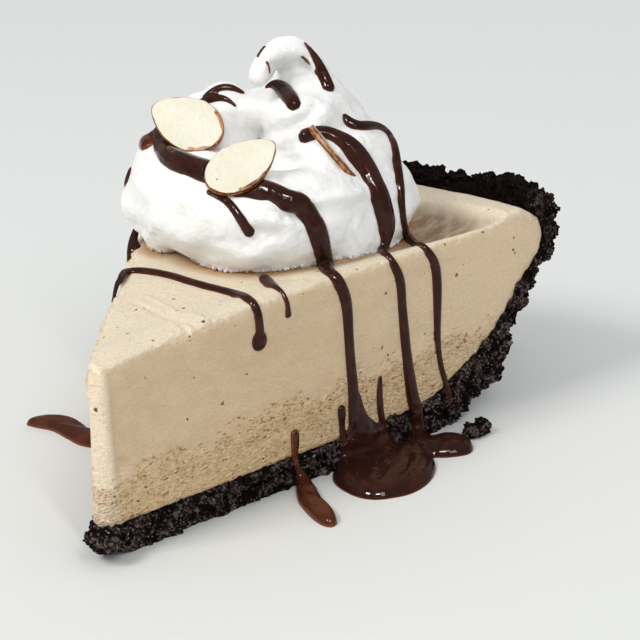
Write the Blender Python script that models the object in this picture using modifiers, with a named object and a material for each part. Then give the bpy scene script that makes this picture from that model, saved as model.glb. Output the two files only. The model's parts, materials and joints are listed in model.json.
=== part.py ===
"""A slice of mocha ice cream pie: crumb crust, ice cream, whipped cream, almond slices and chocolate sauce.

The slice is modelled round the whole pie's axis, which is the slice's pointed end, and then hung on an empty
that puts the origin under the middle of its length. +X runs from the point to the rim, +Z is up, and the cut
that the slice is served from faces -Y. Sizes are in millimetres and become metres where a mesh is made.
"""

import math

import bmesh
import bpy
import numpy as np
from mathutils import Matrix, Vector, noise
from mathutils.bvhtree import BVHTree

MM = 0.001
GAP = 0.4  # between pieces that touch
FLOOR_TRIM = 1.0  # made below the resting plane and then cut off flat

# The pie and its slice
SLICE_LENGTH = 114.0  # from the point to the outside of the rim: a pie of about 9 inches
HALF_WEDGE = math.radians(22.5)
FILLING_TOP = 37.8
BASE_TOP = 5.6
RIM_TOP = 40.9
TIP_DROOP = 3.6  # how far the soft point has sunk
DROOP_REACH = 17.0
TURN_STEPS = 144

# Half sections, (radius, height), from the axis outwards
FILLING_SIDE = (
    (104.2, 37.8), (107.0, 36.8), (109.0, 34.6), (109.5, 31.6), (107.9, 28.2), (103.6, 24.6),
    (99.6, 20.2), (95.2, 15.8), (90.5, 12.6), (85.3, 10.0), (80.0, 7.4), (75.0, 5.9), (70.0, 5.6),
)
CRUST_OUTSIDE = (
    (106.6, 40.3), (109.0, 40.9), (112.4, 39.4), (114.0, 35.5), (113.6, 31.0), (109.8, 26.0),
    (106.6, 21.0), (102.4, 17.0), (100.4, 11.5), (98.0, 7.4), (93.6, 3.2), (88.0, 0.4), (84.0, -FLOOR_TRIM),
)

# The cuts: how far each stands out of the ideal wedge, at the bottom and at the top, and the point's radius
FILLING_CUT = (0.9, 0.1, 1.9)
CRUST_CUT = (1.3, 0.7, 1.9)
CUT_HEIGHT = 50.0
NOSE_STEPS = 8

# How the ice cream has melted: softened between these heights, less so between these distances near the rim
MELT_HEIGHTS = (14.0, 34.0)
MELT_NEAR_RIM = (88.0, 100.0)
RIM_FIRMNESS = 0.75
MELT_PASSES = 26
CUT_MELT = 0.12  # the share of it lower down, above the crust
CUT_MELT_HEIGHTS = (6.0, 10.0)
# Where the ice cream has waves: on the bare top near the point, at the lip by the rim, and high on the cuts
WAVE_SIZE = 13.0
WAVE_HEIGHT = 0.45
BARE_TOP = (34.0, 48.0)
LIP = (98.0, 104.0)
LIP_WAVES = 0.5
CUT_WAVES = (15.0, 22.0)
CUT_WAVES_END = (88.0, 96.0)
TOP_BAND = (6.0, 3.0)  # below the top

# Relief of the crust
CRUMB_SIZE = 4.6
FINE_CRUMBS = 0.55  # size of the smaller crumbs against the large ones
FINE_SHARE = 0.5
CRAG_SIZE = 9.0
CRAG_SHARE = 0.5
MEAN_LUMP = 0.95
CRUMB_RELIEF = 1.5
CUT_RELIEF = 0.4  # the knife leaves this share of it on the cuts
HIDDEN_BY_FILLING = (0.8, 2.2)  # nearer to the ice cream than this the crust stays smooth
POINT_REACH = 6.0  # within this of the point the crust has crumbled, leans out and has lifted
POINT_LEAN = 1.6
POINT_LIFT = 2.4
CRUST_VOXEL = 0.8
CRUST_TRIANGLES = 4000
FILLING_VOXEL = 0.9
FILLING_TRIANGLES = 1500

# The cream, in its own frame: a to the right and b towards a viewer of the served side, and h up from
# the filling
CREAM_AXIS = (73.0, 0.0)
SERVED_TURN = math.radians(-62.84)
EYE = (6.0, 411.0, 137.0)
CREAM_VOXEL = 1.0
CREAM_TRIANGLES = 3300
CREAM_PASSES = 7  # of relaxing, less on the curl
CURL_FIRMNESS = 0.7
CURL_FROM = (22.0, 30.0)
FOLD_SIZE = 11.0
FOLD_HEIGHT = 0.9
FOLD_SQUASH = 2.2  # folds lie flat, so noise is squeezed upwards
RIPPLE_SIZE = 5.0
RIPPLE_HEIGHT = 0.3
# Stations of the thick coil: bearing from the viewer's side in degrees, distance from the axis, height
# and radius
CREAM_COIL = (
    (118, 16.5, 5.6, 7.2), (92, 17.9, 5.8, 7.6), (66, 15.0, 6.6, 7.8), (40, 13.4, 7.0, 8.4),
    (12, 16.6, 6.8, 9.0), (-18, 19.6, 7.2, 9.5), (-48, 20.2, 8.8, 9.8), (-76, 20.6, 9.4, 9.4),
    (-104, 19.0, 12.0, 9.0), (-134, 15.5, 14.0, 8.4), (-164, 13.0, 13.5, 8.0), (-200, 13.0, 12.5, 8.0),
    (-238, 14.5, 11.8, 7.8), (-268, 15.0, 12.0, 7.2), (-294, 13.0, 13.2, 6.4), (-324, 10.0, 14.4, 5.6),
)
# Stations of the upper cone and the tip that curls over to the left: a, b, h, radius
CREAM_CURL = (
    (6.2, -3.4, 12.0, 11.5), (6.0, -4.0, 18.0, 10.0), (4.5, -4.6, 23.4, 8.2), (3.7, -4.8, 27.4, 6.1),
    (3.3, -4.4, 30.6, 4.8), (1.9, -3.2, 32.8, 3.6), (-0.4, -1.4, 33.1, 3.0), (-2.6, 1.0, 31.8, 2.6),
    (-3.7, 2.6, 30.0, 2.4), (-3.6, 3.2, 29.2, 2.2),
)
# Lobes that fill and swell the mass: a, b, h, and the three radii
CREAM_LOBES = (
    (0.0, -1.0, 3.0, 25.0, 23.0, 11.0),
    (-25.0, 4.0, 5.4, 6.0, 8.0, 6.6),
    (21.0, -3.0, 3.6, 5.0, 9.0, 4.8),
    (17.0, -6.0, 12.6, 4.8, 5.0, 5.0),
    (-10.6, -4.0, 22.4, 5.4, 5.2, 5.4),
    (-4.4, -3.0, 22.2, 4.6, 4.8, 4.4),
    (-22.6, 8.2, 2.0, 4.6, 5.6, 3.6),
    (-27.6, 4.5, 6.4, 2.4, 2.4, 1.6),
    (3.6, 3.0, 21.0, 7.0, 5.4, 6.0),
    (-14.0, -4.0, 17.0, 9.0, 9.0, 8.5),
    (-10.5, 8.5, 10.5, 10.0, 9.0, 7.0),
)

# Sauce courses on the cream, as seen from EYE in the plane through its axis: a, h, radius
CREAM_COURSES = {
    "broad": (
        (-25.6, 19.2, 1.5), (-24.6, 17.4, 2.0), (-21.5, 14.4, 2.3), (-17.3, 12.2, 2.4), (-13.6, 10.8, 2.2),
        (-9.4, 10.8, 2.0), (-5.4, 9.8, 2.0), (-0.6, 7.8, 2.0), (3.3, 4.7, 1.8), (5.4, 1.8, 1.7),
        (6.0, -0.4, 1.6),
    ),
    "short": ((-13.2, 7.6, 0.9), (-10.8, 5.4, 0.9), (-8.7, 2.4, 0.9), (-7.0, -0.4, 1.1)),
    "right": (
        (3.8, 16.5, 1.5), (6.8, 17.4, 1.5), (10.7, 16.4, 1.5), (14.2, 12.4, 1.6), (17.0, 7.4, 1.9),
        (19.0, 2.0, 2.1), (19.2, -1.6, 1.8), (18.9, -3.6, 1.0),
    ),
    "far_right": (
        (12.6, 20.2, 1.3), (14.0, 18.4, 1.2), (16.6, 18.6, 0.9), (19.3, 17.2, 0.8), (20.9, 13.4, 0.9),
        (21.6, 8.0, 0.8), (21.9, 2.4, 0.7), (22.4, -0.6, 0.8),
    ),
    "comma": ((0.4, 27.2, 1.2), (1.6, 26.0, 1.4), (2.6, 24.4, 1.4), (3.1, 22.8, 1.4)),
    "cap": ((4.6, 35.2, 0.6), (7.2, 31.8, 1.1), (9.3, 28.2, 1.2), (9.5, 26.0, 1.1)),
    "shoulder": ((-15.0, 25.0, 1.0), (-12.3, 26.6, 1.3), (-9.8, 27.0, 1.2), (-7.6, 26.4, 0.7)),
}

DRIZZLE_RISE = 0.1  # how far a drizzle's middle is above the cream, as a share of its radius
DRIZZLE_EASING = 3  # passes that carry it over hollows
DRIZZLE_SPACING = 1.5

DRIP_SINK = 0.35  # how far a drip's middle is below the ice cream, as a share of its radius
DRIP_SPACING = 3.2

# Sauce courses on the served cut: distance from the point, height, radius
CUT_COURSES = {
    "broad": (
        (53.6, 40.0, 1.5), (55.6, 36.0, 1.4), (57.4, 31.0, 1.2), (58.4, 22.3, 1.3), (60.0, 12.6, 1.6),
        (61.0, 8.6, 1.9),
    ),
    "right": (
        (67.6, 39.4, 0.9), (69.8, 34.6, 0.9), (70.8, 28.0, 1.1), (71.0, 22.0, 1.2), (72.4, 14.0, 1.2),
        (73.6, 9.6, 1.5),
    ),
    "far_right": (
        (73.8, 40.0, 1.0), (77.2, 37.2, 0.9), (80.0, 32.0, 1.1), (81.0, 24.0, 0.8), (81.4, 16.0, 0.6),
        (82.2, 11.6, 0.6),
    ),
}
# Sauce courses over the top of the ice cream, x and y from the pie's axis, that then hang on the served cut
TOP_COURSES = {
    "long": (((31.4, 12.6, 0.5), (35.6, 13.4, 0.8), (38.6, 9.0, 0.9), (38.0, 1.0, 0.9), (35.0, -8.6, 0.9)),
             ((37.0, 36.4, 1.0), (37.9, 33.0, 1.1), (37.8, 29.0, 1.6))),
    "small": (((45.0, -8.8, 0.8), (43.4, -11.6, 0.8)),
              ((43.0, 37.4, 0.6), (44.2, 34.4, 0.6), (44.3, 32.0, 0.6))),
}
# The end of the far right drip, on the crust
CRUST_COURSE = ((82.4, 8.0, 0.6), (82.8, 6.2, 0.65), (83.0, 4.6, 0.5))
# The far drip: distance from the point along the hidden cut, height, radius
HIDDEN_COURSE = (
    (56.5, 39.2, 1.2), (55.6, 34.0, 1.2), (54.4, 24.0, 1.1), (53.0, 14.0, 1.1), (52.4, 8.6, 1.2),
)

# Sauce on the resting plane, x and y from the pie's axis: centre and the three radii of each lobe of the pool
POOL_LOBES = (
    (47.6, -31.4, 8.8, 8.8, 2.6),
    (54.6, -31.8, 8.6, 8.6, 2.8),
    (60.6, -31.0, 5.0, 6.0, 2.2),
    (67.4, -38.4, 4.4, 3.0, 2.8),
    (63.6, -34.8, 4.2, 3.0, 1.9),
)
POOL_CLEARANCE = 2.2  # from the ideal cut, past the crust's crumbs
POOL_VOXEL = 0.6
POOL_TRIANGLES = 900
# Courses that climb from the pool up the served cut: distance from the point, height, radius
POOL_COURSES = (
    ((59.4, 7.4, 1.9), (60.6, 4.6, 2.3), (61.4, 1.6, 3.0)),
    ((71.6, 8.4, 1.5), (72.4, 5.2, 1.7), (72.6, 1.6, 2.6)),
    ((54.2, 12.0, 0.8), (54.4, 9.0, 0.9), (55.2, 5.0, 1.2), (56.4, 1.6, 2.0)),
    ((64.2, 15.2, 0.6), (64.8, 10.0, 0.9), (66.0, 5.0, 1.2), (66.6, 1.6, 2.0)),
)
TONGUE_COURSE = ((41.8, 9.8, 0.9), (42.4, 6.0, 0.8), (43.0, 2.6, 0.9))
TONGUE_ON_FLOOR = ((40.8, -19.8, 1.4), (36.6, -23.4, 2.2), (32.2, -26.8, 2.8), (28.8, -29.4, 2.4))
LEFT_TONGUE = (
    (46.4, 21.0, 2.6), (43.8, 24.6, 3.0), (43.2, 28.8, 3.2), (45.0, 33.2, 3.0), (47.2, 38.0, 2.7),
    (47.0, 42.4, 1.9), (45.4, 45.2, 0.8),
)
TONGUE_FLATTEN = 0.5
TONGUE_VOXEL = 0.5
TONGUE_TRIANGLES = 260

CRUMB_PLACE = (73.4, -39.2)
CRUMB_RADII = (2.6, 2.0, 2.1)
CRUMB_LUMP_SIZE = 2.4
CRUMB_LUMP_HEIGHT = 0.8
CRUMB_TRIANGLES = 160

# Almond slices: middle as seen from EYE (a, h) and how far it is towards the viewer, length, width, turn of
# the long axis in degrees, and tilt of the face towards the viewer in degrees from lying flat
ALMOND_THICKNESS = 1.3
ALMOND_ROUNDING = 0.25
ALMOND_SIDES = 22
POCKET_DEPTH = 5.0  # how far the hollow that a slice lies in is open outwards
ALMONDS = {
    "almond_slice_left": (-17.8, 20.8, 4.3, 14.8, 9.7, 149.0, 48.0),
    "almond_slice_front": (-7.9, 12.1, 20.5, 14.9, 8.7, 36.0, 42.0),
}
EDGE_ALMOND = ((5.6, 19.2), (13.2, 9.0), 12.8, 5.6)


def metres(points):
    return [tuple(value * MM for value in point) for point in points]


def new_collection(name):
    collection = bpy.data.collections.new(name)
    bpy.context.scene.collection.children.link(collection)
    return collection


def add(name, data, collection):
    obj = bpy.data.objects.new(name, data)
    collection.objects.link(obj)
    return obj


def apply_modifiers(obj):
    """Swap the object's mesh for the one its modifiers make."""
    bpy.context.view_layer.update()
    graph = bpy.context.evaluated_depsgraph_get()
    before = obj.data
    obj.data = bpy.data.meshes.new_from_object(obj.evaluated_get(graph))
    obj.modifiers.clear()
    bpy.data.meshes.remove(before)


def combine(obj, other, operation, solver="EXACT"):
    """Boolean with one helper object, which is removed afterwards."""
    boolean = obj.modifiers.new(operation.title(), "BOOLEAN")
    boolean.operation = operation
    boolean.solver = solver
    boolean.object = other
    apply_modifiers(obj)
    bpy.data.objects.remove(other)


def remesh(obj, voxel):
    even = obj.modifiers.new("Remesh", "REMESH")
    even.mode = "VOXEL"
    even.voxel_size = voxel * MM
    apply_modifiers(obj)


def thin_out(obj, triangles):
    """Collapse edges until about this many triangles are left: flat stretches lose theirs first."""
    now = sum(len(face.vertices) - 2 for face in obj.data.polygons)
    decimate = obj.modifiers.new("Thin", "DECIMATE")
    decimate.ratio = min(1.0, triangles / now)
    apply_modifiers(obj)


def arrays(obj):
    """The mesh's vertices and their normals, in millimetres."""
    count = len(obj.data.vertices) * 3
    points = np.empty(count, np.float32)
    normals = np.empty(count, np.float32)
    obj.data.vertices.foreach_get("co", points)
    obj.data.vertex_normals.foreach_get("vector", normals)
    return points.reshape(-1, 3).astype(float) / MM, normals.reshape(-1, 3).astype(float)


def set_points(obj, points):
    obj.data.vertices.foreach_set("co", (points * MM).astype(np.float32).ravel())
    obj.data.update()


def smooth(obj, passes, weight):
    """Relax the mesh where weight, one number for each vertex, is above nought."""
    points, _ = arrays(obj)
    edges = np.empty(len(obj.data.edges) * 2, np.int32)
    obj.data.edges.foreach_get("vertices", edges)
    edges = edges.reshape(-1, 2)
    degree = np.bincount(edges.ravel(), minlength=len(points))[:, None]
    for _ in range(passes):
        total = np.zeros_like(points)
        np.add.at(total, edges[:, 0], points[edges[:, 1]])
        np.add.at(total, edges[:, 1], points[edges[:, 0]])
        points += (total / degree - points) * 0.5 * weight[:, None]
    set_points(obj, points)


def ramp(value, start, end):
    """0 at start, 1 at end, with soft ends."""
    t = np.clip((np.asarray(value, float) - start) / (end - start), 0.0, 1.0)
    return t * t * (3.0 - 2.0 * t)


def noise_at(points, size, seed):
    """Smooth noise, about -1 to 1, whose bumps are size across."""
    shift = Vector((seed * 17.3, seed * 5.1, seed * 9.7))
    return np.array([noise.noise(Vector(point) / size + shift) for point in points])


def crumbs_at(points, size, seed):
    """Rounded lumps packed side by side, 0 in their joints and 1 on their crowns."""
    shift = Vector((seed * 11.9, seed * 3.7, seed * 7.3))
    found = []
    for point in points:
        near, next_near = noise.voronoi(Vector(point) / size + shift)[0][:2]
        found.append(next_near - near)
    return np.sqrt(np.clip(np.array(found) * 1.6, 0.0, 1.0))


def tree_of(obj):
    """A search tree of the mesh, in millimetres."""
    points, _ = arrays(obj)
    return BVHTree.FromPolygons(points.tolist(), [tuple(face.vertices) for face in obj.data.polygons])


def trim(obj, point, inward):
    """Cut off what lies beyond the plane through point, on the side that inward points away from."""
    shape = bmesh.new()
    bmesh.ops.create_cube(shape, size=1.0)
    size = 3 * SLICE_LENGTH * MM
    turn = inward.to_track_quat("Z", "Y").to_matrix().to_4x4()
    place = Matrix.Translation(Vector(point) * MM) @ turn @ Matrix.Translation((0.0, 0.0, -size / 2))
    bmesh.ops.transform(shape, matrix=place @ Matrix.Scale(size, 4), verts=shape.verts)
    mesh = bpy.data.meshes.new("trim")
    shape.to_mesh(mesh)
    shape.free()
    combine(obj, add("trim", mesh, obj.users_collection[0]), "DIFFERENCE", "MANIFOLD")


def flat_below(obj, height):
    """Give the object a flat underside at this height."""
    trim(obj, (0.0, 0.0, height), Vector((0.0, 0.0, 1.0)))


def keep_largest(obj):
    """Drop loose scraps, so that the node is one body."""
    shape = bmesh.new()
    shape.from_mesh(obj.data)
    left = set(shape.verts)
    islands = []
    while left:
        queue = [left.pop()]
        island = list(queue)
        while queue:
            vertex = queue.pop()
            for edge in vertex.link_edges:
                other = edge.other_vert(vertex)
                if other in left:
                    left.remove(other)
                    queue.append(other)
                    island.append(other)
        islands.append(island)
    islands.sort(key=len)
    for scrap in islands[:-1]:
        bmesh.ops.delete(shape, geom=scrap, context="VERTS")
    shape.to_mesh(obj.data)
    shape.free()


def finish_surface(obj, material, angle=60):
    obj.data.materials.clear()
    obj.data.materials.append(material)
    obj.data.shade_smooth()
    obj.data.set_sharp_from_angle(angle=math.radians(angle))


def plain_material(name, colour, roughness):
    material = bpy.data.materials.new(name)
    material.use_nodes = True
    shader = material.node_tree.nodes["Principled BSDF"]
    shader.inputs["Base Color"].default_value = (*colour, 1.0)
    shader.inputs["Roughness"].default_value = roughness
    shader.inputs["Metallic"].default_value = 0.0
    return material


def turned(name, section, collection):
    """A full turn of a half section that runs from the axis out, down and back to the axis."""
    mesh = bpy.data.meshes.new(name)
    points = metres((radius, 0.0, height) for radius, height in section)
    mesh.from_pydata(points, [(i, i + 1) for i in range(len(points) - 1)], [])
    obj = add(name, mesh, collection)
    screw = obj.modifiers.new("Turn", "SCREW")
    screw.steps = screw.render_steps = TURN_STEPS
    screw.use_merge_vertices = True
    screw.merge_threshold = 0.00001
    apply_modifiers(obj)
    return obj


def wedge_outline(proud, radius):
    """The slice in plan: two straight cuts, proud of the ideal ones, joined by a round nose."""
    reach = SLICE_LENGTH * 1.2
    centre = (radius - proud) / math.sin(HALF_WEDGE)
    nose = []
    start = math.pi / 2 + HALF_WEDGE
    for step in range(NOSE_STEPS + 1):
        angle = start + (2 * math.pi - 2 * start) * step / NOSE_STEPS
        nose.append((centre + radius * math.cos(angle), radius * math.sin(angle)))
    along = (reach * math.cos(HALF_WEDGE), reach * math.sin(HALF_WEDGE))
    first = (nose[0][0] + along[0], nose[0][1] + along[1])
    last = (nose[-1][0] + along[0], nose[-1][1] - along[1])
    return [first, *nose, last]


def wedge_cutter(cut, collection):
    """A tall prism whose sides lean in from the first of the two proud distances to the second."""
    bottom, top, radius = cut
    rings = []
    for height in (-CUT_HEIGHT, 2 * CUT_HEIGHT):
        proud = bottom + (top - bottom) * height / CUT_HEIGHT
        rings.append([(x, y, height) for x, y in wedge_outline(proud, radius)])
    shape = bmesh.new()
    lower, upper = [[shape.verts.new(point) for point in metres(ring)] for ring in rings]
    shape.faces.new(lower)
    shape.faces.new(upper)
    for i, vertex in enumerate(lower):
        j = (i + 1) % len(lower)
        shape.faces.new((vertex, lower[j], upper[j], upper[i]))
    bmesh.ops.recalc_face_normals(shape, faces=shape.faces)
    mesh = bpy.data.meshes.new("wedge_cutter")
    shape.to_mesh(mesh)
    shape.free()
    cutter = add("wedge_cutter", mesh, collection)
    cutter.hide_render = True
    cutter.display_type = "WIRE"
    return cutter


def offset_outline(outline, distance):
    """The outline moved to its left by distance, point by point."""
    points = np.array(outline, float)
    ahead = np.gradient(points, axis=0)
    ahead /= np.linalg.norm(ahead, axis=1)[:, None]
    return [tuple(point) for point in points + distance * np.stack([-ahead[:, 1], ahead[:, 0]], axis=1)]


def smooth_course(stations, spacing):
    """Points about spacing apart on the smooth curve through stations; all columns are carried along."""
    rows = np.array(stations, float)
    if len(rows) == 2:
        rows = np.array([rows[0], (rows[0] + rows[1]) / 2, rows[1]])
    padded = np.vstack([2 * rows[0] - rows[1], rows, 2 * rows[-1] - rows[-2]])
    found = [rows[0]]
    for p0, p1, p2, p3 in zip(padded, padded[1:], padded[2:], padded[3:]):
        steps = max(1, int(round(np.linalg.norm((p2 - p1)[:3]) / spacing)))
        for step in range(1, steps + 1):
            t = step / steps
            found.append(
                0.5 * (2 * p1 + (p2 - p0) * t + (2 * p0 - 5 * p1 + 4 * p2 - p3) * t * t
                       + (3 * p1 - p0 - 3 * p2 + p3) * t ** 3)
            )
    return np.array(found)


def tube(name, rows, collection, sides=1):
    """A closed round-ended tube through rows of x, y, z and radius."""
    curve = bpy.data.curves.new(name, "CURVE")
    curve.dimensions = "3D"
    curve.bevel_depth = MM
    curve.bevel_resolution = sides
    curve.use_fill_caps = True
    spline = curve.splines.new("POLY")
    first, last = rows[0].copy(), rows[-1].copy()
    before = rows[0][:3] - rows[1][:3]
    after = rows[-1][:3] - rows[-2][:3]
    first[:3] += before / np.linalg.norm(before) * rows[0][3] * 0.6
    last[:3] += after / np.linalg.norm(after) * rows[-1][3] * 0.6
    first[3] *= 0.5
    last[3] *= 0.5
    rows = np.vstack([first, rows, last])
    spline.points.add(len(rows) - 1)
    for point, row in zip(spline.points, rows):
        point.co = (*(row[:3] * MM), 1.0)
        point.radius = row[3]
    as_curve = add(name, curve, collection)
    bpy.context.view_layer.update()
    graph = bpy.context.evaluated_depsgraph_get()
    mesh = bpy.data.meshes.new_from_object(as_curve.evaluated_get(graph))
    shape = bmesh.new()
    shape.from_mesh(mesh)
    bmesh.ops.remove_doubles(shape, verts=shape.verts, dist=0.00001)
    bmesh.ops.recalc_face_normals(shape, faces=shape.faces)
    shape.to_mesh(mesh)
    shape.free()
    obj = add(name + "_tube", mesh, collection)
    bpy.data.objects.remove(as_curve)
    return obj


def ellipsoid(name, centre, radii, collection, turn=None):
    shape = bmesh.new()
    bmesh.ops.create_icosphere(shape, subdivisions=3, radius=1.0)
    place = Matrix.Translation(Vector(centre) * MM)
    if turn is not None:
        place = place @ turn
    scale = Matrix.Diagonal((*(radius * MM for radius in radii), 1.0))
    bmesh.ops.transform(shape, matrix=place @ scale, verts=shape.verts)
    mesh = bpy.data.meshes.new(name)
    shape.to_mesh(mesh)
    shape.free()
    return add(name, mesh, collection)


def join(name, objects, collection):
    """One object holding the meshes of several, which are removed."""
    shape = bmesh.new()
    for obj in objects:
        shape.from_mesh(obj.data)
        bpy.data.objects.remove(obj)
    mesh = bpy.data.meshes.new(name)
    shape.to_mesh(mesh)
    shape.free()
    return add(name, mesh, collection)


def fuse(obj, tubes, collection_name, solver="EXACT"):
    """Union the tubes with the object in one Boolean on a collection, which is removed afterwards."""
    group = new_collection(collection_name)
    for item in tubes:
        for owner in item.users_collection:
            owner.objects.unlink(item)
        group.objects.link(item)
    boolean = obj.modifiers.new("Fuse", "BOOLEAN")
    boolean.operation = "UNION"
    boolean.operand_type = "COLLECTION"
    boolean.collection = group
    boolean.solver = solver
    apply_modifiers(obj)
    for item in list(group.objects):
        bpy.data.objects.remove(item)
    bpy.data.collections.remove(group)


def cut_point(distance, height, out, side=-1):
    """A point by its distance from the pie's axis along a cut, its height, and how far it stands out."""
    along = Vector((math.cos(HALF_WEDGE), side * math.sin(HALF_WEDGE), 0.0))
    outward = Vector((-math.sin(HALF_WEDGE), side * math.cos(HALF_WEDGE), 0.0))
    return along * distance + outward * out + Vector((0.0, 0.0, height))


def served_axes():
    right = Vector((math.cos(SERVED_TURN), math.sin(SERVED_TURN), 0.0))
    towards = Vector((math.sin(SERVED_TURN), -math.cos(SERVED_TURN), 0.0))
    return right, towards


def cream_point(a, b, h):
    right, towards = served_axes()
    return Vector((*CREAM_AXIS, FILLING_TOP + h)) + right * a + towards * b


def cast_from_eye(tree, a, h):
    """Where the line of sight through (a, h) meets the mesh, and the surface normal there."""
    eye = cream_point(*EYE)
    hit = tree.ray_cast(eye, (cream_point(a, 0.0, h) - eye).normalized())
    return hit[0], hit[1]


def make_filling(parts, cutters):
    """The ice cream: the turned section cut to the wedge, its top edges and its point melted round."""
    obj = turned("ice_cream", [(0.0, FILLING_TOP), *FILLING_SIDE, (0.0, BASE_TOP)], parts)
    combine(obj, wedge_cutter(FILLING_CUT, cutters), "INTERSECT")
    remesh(obj, FILLING_VOXEL)
    points, _ = arrays(obj)
    melted = ramp(points[:, 2], *MELT_HEIGHTS) * (1.0 - RIM_FIRMNESS * ramp(points[:, 0], *MELT_NEAR_RIM))
    smooth(obj, MELT_PASSES, np.maximum(melted, CUT_MELT * ramp(points[:, 2], *CUT_MELT_HEIGHTS)))
    points, normals = arrays(obj)
    nose = np.exp(-np.maximum(points[:, 0], 0.0) / DROOP_REACH)
    points[:, 2] -= TIP_DROOP * nose * ramp(points[:, 2], BASE_TOP + 1.0, FILLING_TOP)
    on_top = np.maximum(1.0 - ramp(points[:, 0], *BARE_TOP), LIP_WAVES * ramp(points[:, 0], *LIP))
    on_cut = ramp(points[:, 2], *CUT_WAVES) * (1.0 - ramp(points[:, 0], *CUT_WAVES_END))
    high = ramp(FILLING_TOP - points[:, 2], *TOP_BAND) > 0.5
    waves = WAVE_HEIGHT * noise_at(points, WAVE_SIZE, 1) * np.where(high, on_top, on_cut)
    points += normals * waves[:, None]
    set_points(obj, points)
    thin_out(obj, FILLING_TRIANGLES)
    return obj


def make_crust(parts, cutters, filling):
    """The crumb crust: the shell outside the filling, cut to the wedge, with crumbs wherever it shows."""
    inside = offset_outline([(0.0, FILLING_TOP), *FILLING_SIDE, (0.0, BASE_TOP)], GAP)[2:-1]
    top_inner = (inside[0][0] - 0.4, RIM_TOP - 1.6)
    section = [(0.0, BASE_TOP - GAP), *reversed(inside), top_inner, *CRUST_OUTSIDE, (0.0, -FLOOR_TRIM)]
    obj = turned("cookie_crust", section, parts)
    combine(obj, wedge_cutter(CRUST_CUT, cutters), "INTERSECT")
    remesh(obj, CRUST_VOXEL)
    points, _ = arrays(obj)
    tree = tree_of(filling)
    away = np.array([tree.find_nearest(Vector(point))[3] for point in points])
    shows = ramp(away, *HIDDEN_BY_FILLING)
    smooth(obj, 3, shows)
    points, normals = arrays(obj)
    lumps = crumbs_at(points, CRUMB_SIZE, 2) + FINE_SHARE * crumbs_at(points, CRUMB_SIZE * FINE_CRUMBS, 5)
    crags = CRAG_SHARE * noise_at(points, CRAG_SIZE, 3)
    on_cut = np.abs(normals[:, 1]) > 0.7
    depth = CRUMB_RELIEF * np.where(on_cut, CUT_RELIEF, 1.0)
    underside = ramp(-normals[:, 2], 0.7, 0.9) * (1.0 - ramp(points[:, 2], 0.0, 2.0))
    points += normals * (shows * (1.0 - underside) * depth * (lumps - MEAN_LUMP + crags))[:, None]
    near = np.exp(-((np.maximum(points[:, 0], 0.0) / POINT_REACH) ** 2))
    points[:, 2] += near * POINT_LIFT * (1.0 - ramp(points[:, 2], -FLOOR_TRIM, BASE_TOP - GAP))
    points[:, 0] -= near * POINT_LEAN * ramp(points[:, 2], 0.0, BASE_TOP)
    set_points(obj, points)
    smooth(obj, 1, shows)
    thin_out(obj, CRUST_TRIANGLES)
    flat_below(obj, 0.0)
    keep_largest(obj)
    return obj


def make_cream(parts):
    """Whipped cream: a thick coil laid on the ice cream, filled in, drawn up to a cone with a curled tip."""
    coil = []
    for bearing, distance, height, radius in CREAM_COIL:
        turn = math.radians(bearing)
        point = cream_point(distance * math.sin(turn), distance * math.cos(turn), height)
        coil.append((*point, radius))
    curl = [(*cream_point(a, b, h), radius) for a, b, h, radius in CREAM_CURL]
    pieces = [
        tube("coil", smooth_course(coil, 2.0), parts, sides=6),
        tube("curl", smooth_course(curl, 1.0), parts, sides=6),
    ]
    turn = Matrix.Rotation(SERVED_TURN, 4, "Z")
    for a, b, h, *radii in CREAM_LOBES:
        pieces.append(ellipsoid("lobe", cream_point(a, b, h), radii, parts, turn))
    obj = join("whipped_cream", pieces, parts)
    remesh(obj, CREAM_VOXEL)
    points, _ = arrays(obj)
    level = points[:, 2] - FILLING_TOP
    on_curl = CURL_FIRMNESS * ramp(level, *CURL_FROM)
    smooth(obj, CREAM_PASSES, 1.0 - on_curl)
    points, normals = arrays(obj)
    folds = FOLD_HEIGHT * noise_at(points * (1.0, 1.0, FOLD_SQUASH), FOLD_SIZE, 4)
    folds += RIPPLE_HEIGHT * noise_at(points, RIPPLE_SIZE, 6)
    points += normals * (folds * (1.0 - on_curl))[:, None]
    set_points(obj, points)
    thin_out(obj, CREAM_TRIANGLES)
    flat_below(obj, FILLING_TOP + GAP)
    keep_largest(obj)
    return obj


def course_on_cream(tree, stations):
    """Rows of x, y, z and radius laid on the cream along a course given as seen from EYE."""
    rows = []
    for a, h, radius in smooth_course(stations, DRIZZLE_SPACING):
        place, normal = cast_from_eye(tree, a, h)
        if place is not None:
            rows.append((*(place + normal * radius * DRIZZLE_RISE), radius))
    rows = np.array(rows)
    for _ in range(DRIZZLE_EASING):
        rows[1:-1] = (rows[:-2] + 2 * rows[1:-1] + rows[2:]) / 4
    return rows


def course_on_cut(tree, stations, side=-1, sink=DRIP_SINK):
    """Rows of x, y, z and radius laid on a cut face of the ice cream."""
    rows = []
    for distance, height, radius in smooth_course(stations, DRIP_SPACING):
        start = cut_point(distance, height, 20.0, side)
        place, normal, _, _ = tree.ray_cast(start, cut_point(distance, height, -20.0, side) - start)
        if place is None:
            place, normal, _, _ = tree.find_nearest(cut_point(distance, height, 0.0, side))
        rows.append((*(place - normal * radius * sink), radius))
    return np.array(rows)


def course_on_top(tree, stations):
    """Rows of x, y, z and radius laid on the top of the ice cream."""
    rows = []
    for x, y, radius in smooth_course(stations, DRIP_SPACING):
        place, normal, _, _ = tree.ray_cast(Vector((x, y, FILLING_TOP + 20.0)), Vector((0.0, 0.0, -1.0)))
        rows.append((*(place - normal * radius * DRIP_SINK), radius))
    return np.array(rows)


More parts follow.
